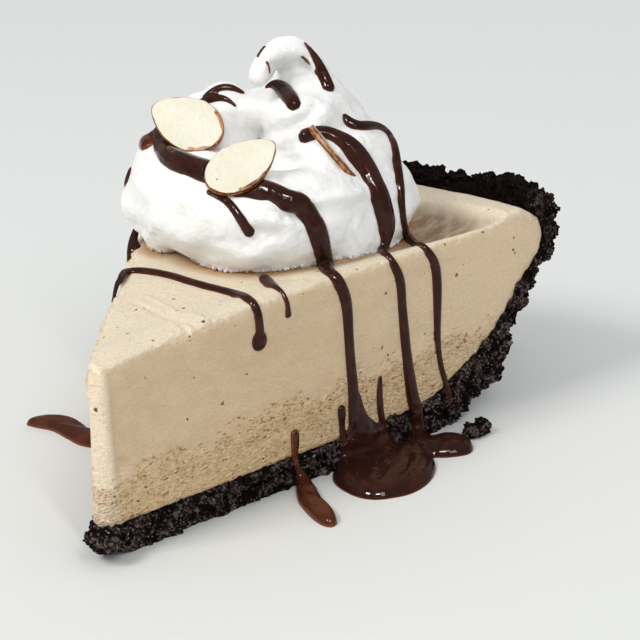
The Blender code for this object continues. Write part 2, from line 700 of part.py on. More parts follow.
def sauce_on_filling(filling, parts):
    """Drips that run over the edges of the ice cream, fused to it."""
    tree = tree_of(filling)
    tubes = [tube("drip", course_on_cut(tree, course), parts) for course in CUT_COURSES.values()]
    tubes.append(tube("drip", course_on_cut(tree, HIDDEN_COURSE, side=1), parts))
    for over, down in TOP_COURSES.values():
        rows = np.vstack([course_on_top(tree, over), course_on_cut(tree, down)])
        tubes.append(tube("drip", rows, parts))
    fuse(filling, tubes, "drips")
    keep_largest(filling)


def sauce_on_crust(crust, parts):
    """The end of one drip, which reaches the crust."""
    fuse(crust, [tube("drip", course_on_cut(tree_of(crust), CRUST_COURSE, sink=0.1), parts)], "drip_end")
    keep_largest(crust)


def sauce_on_cream(cream, parts):
    """Drizzle over the cream, fused to it, and kept clear of the ice cream below."""
    tree = tree_of(cream)
    tubes = [tube("drizzle", course_on_cream(tree, course), parts) for course in CREAM_COURSES.values()]
    fuse(cream, tubes, "drizzle", "MANIFOLD")
    flat_below(cream, FILLING_TOP + GAP)
    keep_largest(cream)


def almond_outline(length, width):
    """A pointed oval, its point at +X."""
    outline = []
    for i in range(ALMOND_SIDES):
        t = 2 * math.pi * i / ALMOND_SIDES
        taper = 1.0 - 0.22 * math.cos(t) - 0.10 * math.cos(2 * t)
        outline.append((0.5 * length * math.cos(t), 0.5 * width * math.sin(t) * taper, 0.0))
    return outline


def almond(name, length, width, thickness, place, collection):
    """A thin slice with rounded edges, swung to place."""
    shape = bmesh.new()
    ring = [shape.verts.new(point) for point in metres(almond_outline(length, width))]
    face = shape.faces.new(ring)
    grown = bmesh.ops.extrude_face_region(shape, geom=[face])
    lifted = [item for item in grown["geom"] if isinstance(item, bmesh.types.BMVert)]
    bmesh.ops.translate(shape, verts=lifted, vec=(0.0, 0.0, thickness * MM))
    bmesh.ops.translate(shape, verts=shape.verts, vec=(0.0, 0.0, -thickness * MM / 2))
    bmesh.ops.recalc_face_normals(shape, faces=shape.faces)
    rims = [edge for edge in shape.edges if abs(edge.verts[0].co.z - edge.verts[1].co.z) < 1e-7]
    bmesh.ops.bevel(shape, geom=rims, offset=ALMOND_ROUNDING * MM, segments=1, affect="EDGES")
    bmesh.ops.transform(shape, matrix=place, verts=shape.verts)
    mesh = bpy.data.meshes.new(name)
    shape.to_mesh(mesh)
    shape.free()
    return add(name, mesh, collection)


def frame_at(place, long_axis, face_axis):
    """A matrix, in metres, with X along long_axis and Z near face_axis."""
    x = long_axis.normalized()
    y = face_axis.cross(x).normalized()
    z = x.cross(y)
    matrix = Matrix((x, y, z)).transposed().to_4x4()
    return Matrix.Translation(place * MM) @ matrix


def almond_places(tree):
    """Name, length, width and placing matrix of each slice on the cream."""
    right, towards = served_axes()
    up = Vector((0.0, 0.0, 1.0))
    found = []
    eye = cream_point(*EYE)
    for name, (a, h, b, length, width, turn, tilt) in ALMONDS.items():
        place = eye.lerp(cream_point(a, 0.0, h), 1.0 - b / EYE[1])
        tilt = math.radians(tilt)
        face = up * math.cos(tilt) + towards * math.sin(tilt)
        rise = up * math.sin(tilt) - towards * math.cos(tilt)
        turn = math.radians(turn)
        along = right * math.cos(turn) + rise * math.sin(turn)
        found.append((name, length, width, frame_at(place, along, face)))
    start, end, length, width = EDGE_ALMOND
    first, _ = cast_from_eye(tree, *start)
    last, _ = cast_from_eye(tree, *end)
    along = last - first
    sight = (cream_point(*EYE) - (first + last) / 2).normalized()
    face = along.cross(sight)
    middle = (first + last) / 2 - sight * (width * 0.12)
    found.append(("almond_slice_edge", length, width, frame_at(middle, along, face)))
    return found


def make_almonds(parts, cream):
    """Three slices, each in a pocket of the cream a little larger than itself."""
    tree = tree_of(cream)
    slices = []
    for name, length, width, place in almond_places(tree):
        behind = ALMOND_THICKNESS / 2 + GAP
        ahead = behind if name.endswith("edge") else POCKET_DEPTH
        centred = place @ Matrix.Translation((0.0, 0.0, (ahead - behind) / 2 * MM))
        pocket = almond("pocket", length + 2 * GAP, width + 2 * GAP, ahead + behind, centred, parts)
        combine(cream, pocket, "DIFFERENCE", "MANIFOLD")
        slices.append(almond(name, length, width, ALMOND_THICKNESS, place, parts))
    keep_largest(cream)
    return slices


def clear_of_cut(obj, distance, side=-1):
    """Cut off what is nearer than distance to the ideal cut."""
    trim(obj, cut_point(0.0, 0.0, distance, side), cut_point(0.0, 0.0, 1.0, side))


def rows_off_cut(stations, side=-1):
    """Rows of a course that stands clear of the cut by the pool's clearance."""
    rows = []
    for distance, height, radius in smooth_course(stations, 2.0):
        rows.append((*cut_point(distance, height, POOL_CLEARANCE + radius * 0.25, side), radius))
    return np.array(rows)


def make_pool(parts):
    """The puddle of sauce: flattened lobes and the drips that feed it, made one and trimmed flat."""
    turn = Matrix.Rotation(SERVED_TURN, 4, "Z")
    pieces = [ellipsoid("lobe", (x, y, 0.0), radii, parts, turn) for x, y, *radii in POOL_LOBES]
    pieces += [tube("drip", rows_off_cut(course), parts, sides=2) for course in POOL_COURSES]
    obj = join("sauce_pool", pieces, parts)
    remesh(obj, POOL_VOXEL)
    points, _ = arrays(obj)
    smooth(obj, 4, np.ones(len(points)))
    thin_out(obj, POOL_TRIANGLES)
    flat_below(obj, 0.0)
    clear_of_cut(obj, POOL_CLEARANCE)
    keep_largest(obj)
    return obj


def make_tongue(name, on_floor, climb, side, parts):
    """A tongue of sauce that ran down a cut and out over the plate."""
    course = smooth_course(on_floor, 2.0)
    floor_rows = np.column_stack([course[:, :2], np.zeros(len(course)), course[:, 2]])
    pieces = [tube("tongue", floor_rows, parts, sides=3)]
    points, _ = arrays(pieces[0])
    points[:, 2] *= TONGUE_FLATTEN
    set_points(pieces[0], points)
    if climb:
        foot = (*cut_point(climb[-1][0], 0.6, POOL_CLEARANCE + 1.2, side), climb[-1][2] * 1.2)
        rows = np.vstack([rows_off_cut(climb, side), foot])
        pieces.append(tube("climb", rows, parts, sides=2))
    obj = join(name, pieces, parts)
    remesh(obj, TONGUE_VOXEL)
    points, _ = arrays(obj)
    smooth(obj, 3, np.ones(len(points)))
    thin_out(obj, TONGUE_TRIANGLES)
    flat_below(obj, 0.0)
    clear_of_cut(obj, POOL_CLEARANCE, side)
    keep_largest(obj)
    return obj


def make_crumb(parts):
    """A lump of crust that has broken off beside the slice."""
    turn = Matrix.Rotation(SERVED_TURN, 4, "Z")
    obj = ellipsoid("crust_crumb", (*CRUMB_PLACE, CRUMB_RADII[2] * 0.75), CRUMB_RADII, parts, turn)
    points, normals = arrays(obj)
    points += normals * (CRUMB_LUMP_HEIGHT * (crumbs_at(points, CRUMB_LUMP_SIZE, 8) - 0.6))[:, None]
    set_points(obj, points)
    thin_out(obj, CRUMB_TRIANGLES)
    flat_below(obj, 0.0)
    return obj


def clear_scene():
    for obj in list(bpy.data.objects):
        bpy.data.objects.remove(obj, do_unlink=True)


def main():
    clear_scene()
    parts = new_collection("ice_cream_pie_slice")
    cutters = new_collection("cutters")
    filling = make_filling(parts, cutters)
    crust = make_crust(parts, cutters, filling)
    cream = make_cream(parts)
    sauce_on_filling(filling, parts)
    sauce_on_crust(crust, parts)
    sauce_on_cream(cream, parts)
    almonds = make_almonds(parts, cream)
    pool = make_pool(parts)
    tongue = make_tongue("sauce_tongue_front", TONGUE_ON_FLOOR, TONGUE_COURSE, -1, parts)
    left_tongue = make_tongue("sauce_tongue_left", LEFT_TONGUE, (), 1, parts)
    crumb = make_crumb(parts)

    ice = plain_material("mocha_ice_cream", (0.72, 0.55, 0.36), 0.45)
    cookie = plain_material("cookie_crumb", (0.018, 0.014, 0.012), 0.75)
    whipped = plain_material("whipped_cream", (0.92, 0.90, 0.87), 0.4)
    nut = plain_material("almond", (0.82, 0.70, 0.48), 0.5)
    sauce = plain_material("chocolate_sauce", (0.035, 0.012, 0.008), 0.12)
    finish_surface(filling, ice)
    finish_surface(cream, whipped)
    for obj in (crust, crumb):
        finish_surface(obj, cookie, 45)
    for obj in (pool, tongue, left_tongue):
        finish_surface(obj, sauce)
    for obj in almonds:
        finish_surface(obj, nut, 30)

    middle = bpy.data.objects.new("slice_middle", None)
    parts.objects.link(middle)
    middle.location = (-SLICE_LENGTH / 2 * MM, 0.0, 0.0)
    for obj in parts.objects:
        if obj is not middle:
            obj.parent = middle


main()
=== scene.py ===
# %% [markdown]
# # A slice of ice cream pie
#
# A pressed crumb crust of dark cookies holds a wedge of mocha ice cream. On it sits a dollop of whipped
# cream with three almond slices, and chocolate sauce runs over it all, down both cuts and out over what the
# slice stands on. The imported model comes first, because every piece below takes its place from it.

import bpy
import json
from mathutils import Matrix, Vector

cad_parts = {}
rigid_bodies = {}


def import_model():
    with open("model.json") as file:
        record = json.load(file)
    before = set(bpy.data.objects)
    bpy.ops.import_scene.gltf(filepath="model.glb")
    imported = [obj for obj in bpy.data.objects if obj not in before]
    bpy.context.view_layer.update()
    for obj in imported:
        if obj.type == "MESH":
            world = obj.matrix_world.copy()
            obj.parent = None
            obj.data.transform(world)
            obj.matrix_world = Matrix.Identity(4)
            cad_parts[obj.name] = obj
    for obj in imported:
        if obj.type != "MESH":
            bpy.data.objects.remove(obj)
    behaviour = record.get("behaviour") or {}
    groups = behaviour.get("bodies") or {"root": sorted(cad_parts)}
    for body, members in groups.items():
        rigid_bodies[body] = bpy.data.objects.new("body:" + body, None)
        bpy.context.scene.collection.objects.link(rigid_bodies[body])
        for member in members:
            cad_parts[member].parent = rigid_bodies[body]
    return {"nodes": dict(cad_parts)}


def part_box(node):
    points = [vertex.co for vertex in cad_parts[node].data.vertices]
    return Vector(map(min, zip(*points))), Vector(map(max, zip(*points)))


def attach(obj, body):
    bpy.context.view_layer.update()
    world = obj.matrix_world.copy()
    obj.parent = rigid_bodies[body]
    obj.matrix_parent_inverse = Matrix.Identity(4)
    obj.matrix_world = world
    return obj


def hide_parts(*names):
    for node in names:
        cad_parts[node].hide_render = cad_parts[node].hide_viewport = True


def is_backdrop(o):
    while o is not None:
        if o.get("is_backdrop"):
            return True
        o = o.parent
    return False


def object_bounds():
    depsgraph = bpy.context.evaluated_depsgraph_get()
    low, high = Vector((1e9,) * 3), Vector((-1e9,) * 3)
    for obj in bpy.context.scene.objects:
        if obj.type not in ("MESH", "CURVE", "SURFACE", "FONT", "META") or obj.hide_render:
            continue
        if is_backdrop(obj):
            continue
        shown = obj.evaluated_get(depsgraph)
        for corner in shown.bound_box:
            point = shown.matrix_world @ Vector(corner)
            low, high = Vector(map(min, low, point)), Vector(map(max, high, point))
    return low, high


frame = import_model()
cad_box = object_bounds()
print("solids:", ", ".join(sorted(frame["nodes"])))

# %% [markdown]
# ## Units
#
# A baker measures a slice from its point. So all shapes here are thought of in millimetres from the middle
# of the whole pie, with X running from the point to the rim. Blender wants metres from the model's own
# origin, which is half way along the slice, so two small functions translate, and nothing else has to know.

# %% Millimetres from the middle of the pie
import json
import math

import bmesh
import bpy
import numpy as np
from mathutils import Matrix, Quaternion, Vector, noise
from mathutils.bvhtree import BVHTree

MM = 0.001
SLICE_LENGTH = 114.0
HALF_WEDGE = math.radians(22.5)
PIE_MIDDLE = np.array([-SLICE_LENGTH / 2, 0.0, 0.0])
UP = Vector((0.0, 0.0, 1.0))


def to_frame(points):
    """From millimetres round the pie's middle to metres in the model's frame."""
    return (np.asarray(points, float) + PIE_MIDDLE) * MM


def placed(place):
    """The same for a placing matrix whose movement is in millimetres."""
    moved = place.copy()
    moved.translation = Vector(to_frame(place.translation))
    return moved @ Matrix.Scale(MM, 4)


for name in ("ice_cream", "cookie_crust", "whipped_cream"):
    low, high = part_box(name)
    print(name, "is", [round(value / MM, 1) for value in high - low], "mm")

# %% [markdown]
# ## The camera
#
# The slice is seen from a little above, with its point at the left and one cut facing the viewer. A long
# lens from a short step away keeps the wedge's own perspective. The three directions found here are used
# again later: they say what is left, right, near and far for a viewer of the served cut.

# %% Camera
VIEW_TURN = math.radians(-62.843)
VIEW_RISE = math.radians(20.891)
VIEW_ROLL = math.radians(2.107)
VIEW_DISTANCE = 0.42
VIEW_LENS = 127.083
LOOK_AT = Vector((0.002474, -0.013547, 0.025))

VIEWER_RIGHT = Vector((math.cos(VIEW_TURN), math.sin(VIEW_TURN), 0.0))
VIEWER_NEAR = Vector((math.sin(VIEW_TURN), -math.cos(VIEW_TURN), 0.0))


def make_camera():
    back = VIEWER_NEAR * math.cos(VIEW_RISE) + UP * math.sin(VIEW_RISE)
    above = back.cross(VIEWER_RIGHT)
    side = VIEWER_RIGHT * math.cos(VIEW_ROLL) - above * math.sin(VIEW_ROLL)
    top = VIEWER_RIGHT * math.sin(VIEW_ROLL) + above * math.cos(VIEW_ROLL)
    data = bpy.data.cameras.new("camera")
    data.sensor_width = 36.0
    data.lens = VIEW_LENS
    data.clip_start = 0.01
    camera = bpy.data.objects.new("camera", data)
    bpy.context.scene.collection.objects.link(camera)
    turn = Matrix((side, top, back)).transposed().to_4x4()
    camera.matrix_world = Matrix.Translation(LOOK_AT + back * VIEW_DISTANCE) @ turn
    bpy.context.scene.camera = camera


make_camera()

# %% [markdown]
# ## Hands for working a mesh
#
# Soft food has no flat faces, so every large piece is made the way a cook makes it: roughly first, then
# melted or worked. Numpy moves all points of a mesh at once, which is far quicker than one by one. A number
# kept at each point, such as how far it has melted, can be read later by a material or a node tree.

# %% A mesh and its points
def new_piece(name, mesh):
    obj = bpy.data.objects.new(name, mesh)
    bpy.context.scene.collection.objects.link(obj)
    return obj


def piece_from(name, points, edges=(), faces=()):
    mesh = bpy.data.meshes.new(name)
    mesh.from_pydata(to_frame(points).tolist(), edges, faces)
    return new_piece(name, mesh)


def points_of(obj):
    """The mesh's points in millimetres round the pie's middle."""
    flat = np.empty(len(obj.data.vertices) * 3, np.float32)
    obj.data.vertices.foreach_get("co", flat)
    return flat.reshape(-1, 3).astype(float) / MM - PIE_MIDDLE


def normals_of(obj):
    flat = np.empty(len(obj.data.vertices) * 3, np.float32)
    obj.data.vertex_normals.foreach_get("vector", flat)
    return flat.reshape(-1, 3).astype(float)


def move_points(obj, points):
    obj.data.vertices.foreach_set("co", to_frame(points).astype(np.float32).ravel())
    obj.data.update()


def store(obj, name, values):
    """Keep one number for each point in the mesh, for a material or a node tree to read."""
    layer = obj.data.attributes.new(name, "FLOAT", "POINT")
    layer.data.foreach_set("value", np.asarray(values, np.float32))


def ramp(value, start, end):
    """0 at start, 1 at end, with soft ends."""
    t = np.clip((np.asarray(value, float) - start) / (end - start), 0.0, 1.0)
    return t * t * (3.0 - 2.0 * t)


# %% [markdown]
# Modifiers do the heavy work, and what they make becomes the piece's new mesh. Rough shapes are merged by a
# voxel remesh, which gives an even skin of small faces. A knife is a boolean with a helper that is then
# thrown away.

# %% Shapes that are joined, refined and cut
def apply_modifiers(obj):
    """Swap the piece's mesh for the one that its modifiers make."""
    bpy.context.view_layer.update()
    graph = bpy.context.evaluated_depsgraph_get()
    before = obj.data
    obj.data = bpy.data.meshes.new_from_object(obj.evaluated_get(graph))
    obj.data.name = obj.name
    obj.modifiers.clear()
    bpy.data.meshes.remove(before)


def remesh(obj, voxel):
    even = obj.modifiers.new("Even skin", "REMESH")
    even.mode = "VOXEL"
    even.voxel_size = voxel * MM
    apply_modifiers(obj)


def refine(obj):
    """Four faces for one, rounded as they are cut."""
    finer = obj.modifiers.new("Finer", "SUBSURF")
    finer.levels = finer.render_levels = 1
    apply_modifiers(obj)


def combine(obj, other, operation, solver="EXACT"):
    """Boolean with a helper object, which is thrown away afterwards."""
    boolean = obj.modifiers.new(operation.title(), "BOOLEAN")
    boolean.operation = operation
    boolean.solver = solver
    boolean.object = other
    apply_modifiers(obj)
    bpy.data.objects.remove(other)


def piece_of(name, shape):
    """A piece from a shape that was worked on, which is then let go."""
    mesh = bpy.data.meshes.new(name)
    shape.to_mesh(mesh)
    shape.free()
    return new_piece(name, mesh)


def lobe(name, centre, radii, turn=Matrix()):
    """A rounded blob, for filling out a mass before it is melted together."""
    shape = bmesh.new()
    bmesh.ops.create_icosphere(shape, subdivisions=3, radius=1.0)
    scale = Matrix.Diagonal((*radii, 1.0))
    bmesh.ops.transform(shape, matrix=placed(Matrix.Translation(centre)) @ turn @ scale, verts=shape.verts)
    return piece_of(name, shape)


def knobs_of(table):
    """Upright lobes, each with its place and its three radii."""
    return [lobe("knob", (x, y, z), radii) for x, y, z, *radii in table]


def melted_together(name, parts, voxel):
    """All the parts under one even skin."""
    shape = bmesh.new()
    for part in parts:
        shape.from_mesh(part.data)
        bpy.data.objects.remove(part)
    bmesh.ops.recalc_face_normals(shape, faces=shape.faces)
    obj = piece_of(name, shape)
    remesh(obj, voxel)
    return obj


def trim_below(obj, height):
    """Cut the piece off flat at this height."""
    reach = 2 * SLICE_LENGTH
    square = ((-reach, -reach), (reach, -reach), (reach, reach), (-reach, reach))
    corners = [(x, y, z) for z in (height - reach, height) for x, y in square]
    faces = [(3, 2, 1, 0), (4, 5, 6, 7), (0, 1, 5, 4), (1, 2, 6, 5), (2, 3, 7, 6), (3, 0, 4, 7)]
    combine(obj, piece_from("trim", corners, (), faces), "DIFFERENCE", "MANIFOLD")


# %% [markdown]
# Melting rounds an edge by drawing each point towards its neighbours, and it can be held back where the
# food is cold. To lay one piece on another, its points are compared with a search tree of the other's mesh.

# %% Melting, and finding what is near
def relax(obj, passes, weight=1.0):
    """Draw each point towards the middle of its neighbours, as melting does, where weight is above nought."""
    points = points_of(obj)
    ends = np.empty(len(obj.data.edges) * 2, np.int32)
    obj.data.edges.foreach_get("vertices", ends)
    first, second = ends.reshape(-1, 2).T
    count = len(points)
    degree = np.bincount(ends, minlength=count)
    share = 0.5 * np.broadcast_to(weight, count) / degree
    for _ in range(passes):
        for axis in range(3):
            column = points[:, axis]
            total = np.bincount(first, column[second], count)
            total += np.bincount(second, column[first], count)
            column += share * (total - degree * column)
    move_points(obj, points)


def tree_of(*objs):
    """A search tree of the pieces' meshes, in millimetres."""
    points, faces = [], []
    for obj in objs:
        faces += [tuple(len(points) + i for i in face.vertices) for face in obj.data.polygons]
        points += points_of(obj).tolist()
    return BVHTree.FromPolygons(points, faces)


# %% [markdown]
# Nature never repeats a bump. Two kinds of noise cover this whole slice: smooth noise for waves and folds,
# and packed cells for crumbs that press against each other. Both are read at each point's own place, so a
# pattern goes right round a piece with no seam, and it comes out the same each time.

# %% Waves and packed crumbs
def waves_at(points, size, seed):
    """Smooth noise, about -1 to 1, whose bumps are size across."""
    shift = Vector((seed * 17.3, seed * 5.1, seed * 9.7))
    return np.array([noise.noise(Vector(point) / size + shift) for point in points])


def layered(points, layers, level=0.0):
    """Waves on top of each other; each layer has its height, size and seed, and how its noise is squeezed."""
    waves = (height * waves_at(points * squeeze, size, seed) for height, size, seed, squeeze in layers)
    return sum(waves, level)


def crumbs_at(points, size, seed):
    """Rounded lumps packed side by side, 0 in their joints and 1 on their crowns."""
    shift = Vector((seed * 11.9, seed * 3.7, seed * 7.3))
    found = []
    for point in points:
        near, next_near = noise.voronoi(Vector(point) / size + shift)[0][:2]
        found.append(next_near - near)
    return np.sqrt(np.clip(np.array(found) * 1.6, 0.0, 1.0))


# %% [markdown]
# ## Turning and cutting
#
# A pie is round because its dish is. Both the ice cream and the crust are half sections turned about the
# middle of the pie, and then cut to the wedge, just as the real one was. The knife left the two cuts not
# quite upright and the point blunt, so the wedge leans by about a millimetre and has a round nose.

# %% Turned sections, cut to a wedge
TURN_STEPS = 144
CUT_HEIGHT = 50.0
NOSE_STEPS = 8
NOSE_RADIUS = 1.9
FILLING_TOP = 37.8
BASE_TOP = 5.6
RIM_TOP = 40.9
FLOOR_TRIM = 1.0
FILLING_SIDE = (
    (104.2, 37.8), (107.0, 36.8), (109.0, 34.6), (109.5, 31.6), (107.9, 28.2), (103.6, 24.6),
    (99.6, 20.2), (95.2, 15.8), (90.5, 12.6), (85.3, 10.0), (80.0, 7.4), (75.0, 5.9), (70.0, 5.6),
)
FILLING_SECTION = [(0.0, FILLING_TOP), *FILLING_SIDE, (0.0, BASE_TOP)]
CRUST_OUTSIDE = (
    (106.6, 40.3), (109.0, 40.9), (112.4, 39.4), (114.0, 35.5), (113.4, 31.0), (109.4, 26.0),
    (105.4, 21.0), (101.8, 17.0), (99.9, 11.5), (97.2, 7.4), (92.6, 4.0), (87.2, 1.6), (83.4, -FLOOR_TRIM),
)


def turned(name, section):
    """A full turn of a half section, given as (radius, height) from the pie's axis outwards."""
    mesh = bpy.data.meshes.new(name)
    points = [(radius * MM, 0.0, height * MM) for radius, height in section]
    mesh.from_pydata(points, [(i, i + 1) for i in range(len(points) - 1)], [])
    obj = new_piece(name, mesh)
    screw = obj.modifiers.new("Turn", "SCREW")
    screw.steps = screw.render_steps = TURN_STEPS
    screw.use_merge_vertices = True
    screw.merge_threshold = 0.01 * MM
    apply_modifiers(obj)
    obj.data.transform(Matrix.Translation(Vector(PIE_MIDDLE * MM)))
    return obj


def wedge_outline(proud):
    """The slice in plan: two straight cuts, a little proud of the true wedge, joined by a round nose."""
    reach = SLICE_LENGTH * 1.2
    centre = (NOSE_RADIUS - proud) / math.sin(HALF_WEDGE)
    start = math.pi / 2 + HALF_WEDGE
    nose = []
    for step in range(NOSE_STEPS + 1):
        angle = start + (2 * math.pi - 2 * start) * step / NOSE_STEPS
        nose.append((centre + NOSE_RADIUS * math.cos(angle), NOSE_RADIUS * math.sin(angle)))
    along = (reach * math.cos(HALF_WEDGE), reach * math.sin(HALF_WEDGE))
    return [(nose[0][0] + along[0], nose[0][1] + along[1]), *nose,
            (nose[-1][0] + along[0], nose[-1][1] - along[1])]


def cut_to_wedge(obj, bottom, top):
    """Keep the wedge whose cuts stand proud by bottom at the floor and by top at the top."""
    rings = []
    for height in (-CUT_HEIGHT, 2 * CUT_HEIGHT):
        proud = bottom + (top - bottom) * height / CUT_HEIGHT
        rings += [(x, y, height) for x, y in wedge_outline(proud)]
    count = len(rings) // 2
    faces = [tuple(range(count)), tuple(range(2 * count - 1, count - 1, -1))]
    faces += [(i, i + count, (i + 1) % count + count, (i + 1) % count) for i in range(count)]
    knife = piece_from("knife", rings, (), faces)
    shape = bmesh.new()
    shape.from_mesh(knife.data)
    bmesh.ops.recalc_face_normals(shape, faces=shape.faces)
    shape.to_mesh(knife.data)
    shape.free()
    combine(obj, knife, "INTERSECT")


def cut_point(distance, height, out, side=-1):
    """A point by its distance from the pie's axis along a cut, its height, and how far it stands out."""
    along = Vector((math.cos(HALF_WEDGE), side * math.sin(HALF_WEDGE), 0.0))
    outward = Vector((-math.sin(HALF_WEDGE), side * math.cos(HALF_WEDGE), 0.0))
    return along * distance + outward * out + UP * height


def cut_frame(points, side=-1):
    """Distance along a cut, height, and how far out of it, for many points at once."""
    along = points[:, 0] * math.cos(HALF_WEDGE) + points[:, 1] * side * math.sin(HALF_WEDGE)
    out = -points[:, 0] * math.sin(HALF_WEDGE) + points[:, 1] * side * math.cos(HALF_WEDGE)
    return along, points[:, 2], out


# %% [markdown]
# ## The ice cream
#
# Straight from the freezer the cut is crisp. After some minutes the upper edges and the point have gone
# round and the soft point has sunk. A bevel would round every edge alike, so the edges are relaxed instead,
# like wax: most near the top, hardly at all by the crust and less at the rim, where the crust keeps the ice
# cream cold.

# %% The melted wedge of ice cream
ICE_VOXEL = 0.9
ICE_STANDS_PROUD = (0.9, 0.1)  # of the true wedge, at the floor and at the top
MELT_PASSES = 17
MELT_HEIGHTS = (14.0, 34.0)
MELT_NEAR_RIM = (88.0, 100.0)
RIM_FIRMNESS = 0.75
CUT_MELT = 0.12
CUT_MELT_HEIGHTS = (6.0, 10.0)
SOFT_FROM = (0.1, 1.3)  # how far a point has moved when it counts as softened
TIP_DROOP = 3.6
DROOP_REACH = 17.0
WAVE_SIZE = 13.0
WAVE_HEIGHT = 0.45
BARE_TOP = (34.0, 48.0)
LIP = (98.0, 104.0)
LIP_WAVES = 0.5
CUT_WAVES = (15.0, 22.0)
CUT_WAVES_END = (88.0, 96.0)
TOP_BAND = (6.0, 3.0)


def make_ice_cream():
    obj = turned("ice_cream_wedge", FILLING_SECTION)
    cut_to_wedge(obj, *ICE_STANDS_PROUD)
    remesh(obj, ICE_VOXEL)
    before = points_of(obj)
    warmth = 1.0 - RIM_FIRMNESS * ramp(before[:, 0], *MELT_NEAR_RIM)
    melted = ramp(before[:, 2], *MELT_HEIGHTS) * warmth
    relax(obj, MELT_PASSES, np.maximum(melted, CUT_MELT * ramp(before[:, 2], *CUT_MELT_HEIGHTS)))
    store(obj, "softened", ramp(np.linalg.norm(points_of(obj) - before, axis=1), *SOFT_FROM))
    refine(obj)
    points, normals = points_of(obj), normals_of(obj)
    nose = np.exp(-np.maximum(points[:, 0], 0.0) / DROOP_REACH)
    points[:, 2] -= TIP_DROOP * nose * ramp(points[:, 2], BASE_TOP + 1.0, FILLING_TOP)
    on_top = np.maximum(1.0 - ramp(points[:, 0], *BARE_TOP), LIP_WAVES * ramp(points[:, 0], *LIP))
    on_cut = ramp(points[:, 2], *CUT_WAVES) * (1.0 - ramp(points[:, 0], *CUT_WAVES_END))
    high = ramp(FILLING_TOP - points[:, 2], *TOP_BAND) > 0.5
    waves = WAVE_HEIGHT * waves_at(points, WAVE_SIZE, 1) * np.where(high, on_top, on_cut)
    move_points(obj, points + normals * waves[:, None])
    return obj


ice_cream = make_ice_cream()
print("ice cream:", len(ice_cream.data.polygons), "faces")

# %% [markdown]
# The top was spread with a spatula, which left two shallow creases near the point and a three-cornered
# hollow beside the cream that rises to a smooth lip at the crust. Such marks follow lines, so each is a
# path, and points near the path are lowered or raised. The far top edge is ragged, the served cut's edges
# are a little broken, and the foot of the point has begun to crumble.

# %% Marks of the spatula, and worn edges
CREASES = (  # path, width, height
    (((28.9, 8.0), (26.5, 2.1), (23.4, -4.5), (22.0, -9.5), (21.6, -11.9)), 0.5, -0.40),
    (((30.6, 5.9), (28.1, 0.9), (24.6, -3.0), (21.3, -6.4), (19.5, -9.2)), 0.45, -0.42),
    (((31.6, 6.6), (29.0, 2.2), (26.4, -3.4), (24.8, -9.0)), 0.9, 0.30),
    (((93.4, -19.5), (94.8, -24.0), (95.2, -29.2), (93.6, -35.0), (92.0, -38.8)), 0.8, 0.30),
    (((76.5, -26.5), (81.5, -28.6), (85.5, -31.2), (90.4, -34.8)), 0.7, 0.26),
    (((79.0, -25.2), (84.0, -27.0), (88.6, -30.2)), 0.7, -0.22),
    (((60.0, -18.0), (63.6, -20.6), (66.5, -24.0)), 0.9, 0.30),
    (((46.2, -10.0), (49.0, -13.2), (48.6, -17.6)), 1.0, -0.35),
)
# The hollow's corners: by the crust, at the far end, and by the cream.
HOLLOW_CORNERS = np.array(((95.6, -18.5), (92.6, -39.4), (70.5, -28.4)))
HOLLOW_EDGE = (0.0, 3.6)
HOLLOW_DEPTH = 1.9
HOLLOW_REACH = (5.0, 21.0)  # it is deep up to the first distance from its middle, and gone at the second
LIP_RISE = 0.7
LIP_STARTS = (94.0, 99.5)
LIP_ENDS = (104.0, 107.0)
FACES_UP = (0.3, 0.8)
TOP_STARTS = (26.0, 32.0)
FAR_EDGE = (-2.4, -0.4)
FAR_EDGE_HEIGHTS = (24.0, 33.0)
FAR_EDGE_ENDS = (70.0, 90.0)
POINT_FOOT = (5.0, 10.0)
POINT_FOOT_HEIGHTS = (12.0, 17.0)
CUT_EDGE = ((3.4, 0.42, 0.8), (5.3, -0.42, 1.1))  # a ridge and a groove by the point: distance, height, width
CUT_EDGE_HEIGHTS = (9.0, 16.0, 31.0, 37.0)
BROKEN_EDGE = 0.32
BROKEN_EDGE_TURNS = (0.15, 0.45, 0.6, 0.9)  # where the edge rounds, by how far its surface faces up
EDGE_BAND = (-5.0, -2.0)
UPRIGHT_BAND = (-2.2, -0.8)
RAG_HEIGHT, RAG_SIZE = 0.9, 1.7
FOOT_SHARE = 0.8
TOP_WAVES = ((0.10, 4.0, 21, 1.0), (0.05, 1.6, 22, 1.0))
BROKEN_WAVES = ((1.0, 1.5, 24, 1.0), (0.7, 2.8, 25, (0.6, 0.6, 1.0)))


def distance_to_path(points, path):
    """How far each point is from a path of straight pieces, seen from above."""
    nearest = np.full(len(points), 1e9)
    for start, end in zip(np.array(path, float), np.array(path[1:], float)):
        step = end - start
        share = np.clip((points[:, :2] - start) @ step / (step @ step), 0.0, 1.0)
        away = np.linalg.norm(points[:, :2] - start - share[:, None] * step, axis=1)
        nearest = np.minimum(nearest, away)
    return nearest


def hollow_at(points):
    """How deep in the three-cornered hollow each point is, 0 to 1, and how near the cream."""
    first, far_end, by_cream = HOLLOW_CORNERS
    inside = []
    for start, end in ((far_end, first), (by_cream, far_end)):
        step = (end - start) / np.linalg.norm(end - start)
        inside.append(step[0] * (points[:, 1] - start[1]) - step[1] * (points[:, 0] - start[0]))
    from_middle = np.linalg.norm(points[:, :2] - (first + by_cream) / 2, axis=1)
    return ramp(np.minimum(*inside), *HOLLOW_EDGE), 1.0 - ramp(from_middle, *HOLLOW_REACH)


def between(value, low, full, ending, end):
    """1 between full and ending, and nought below low and above end."""
    return ramp(value, low, full) * (1.0 - ramp(value, ending, end))


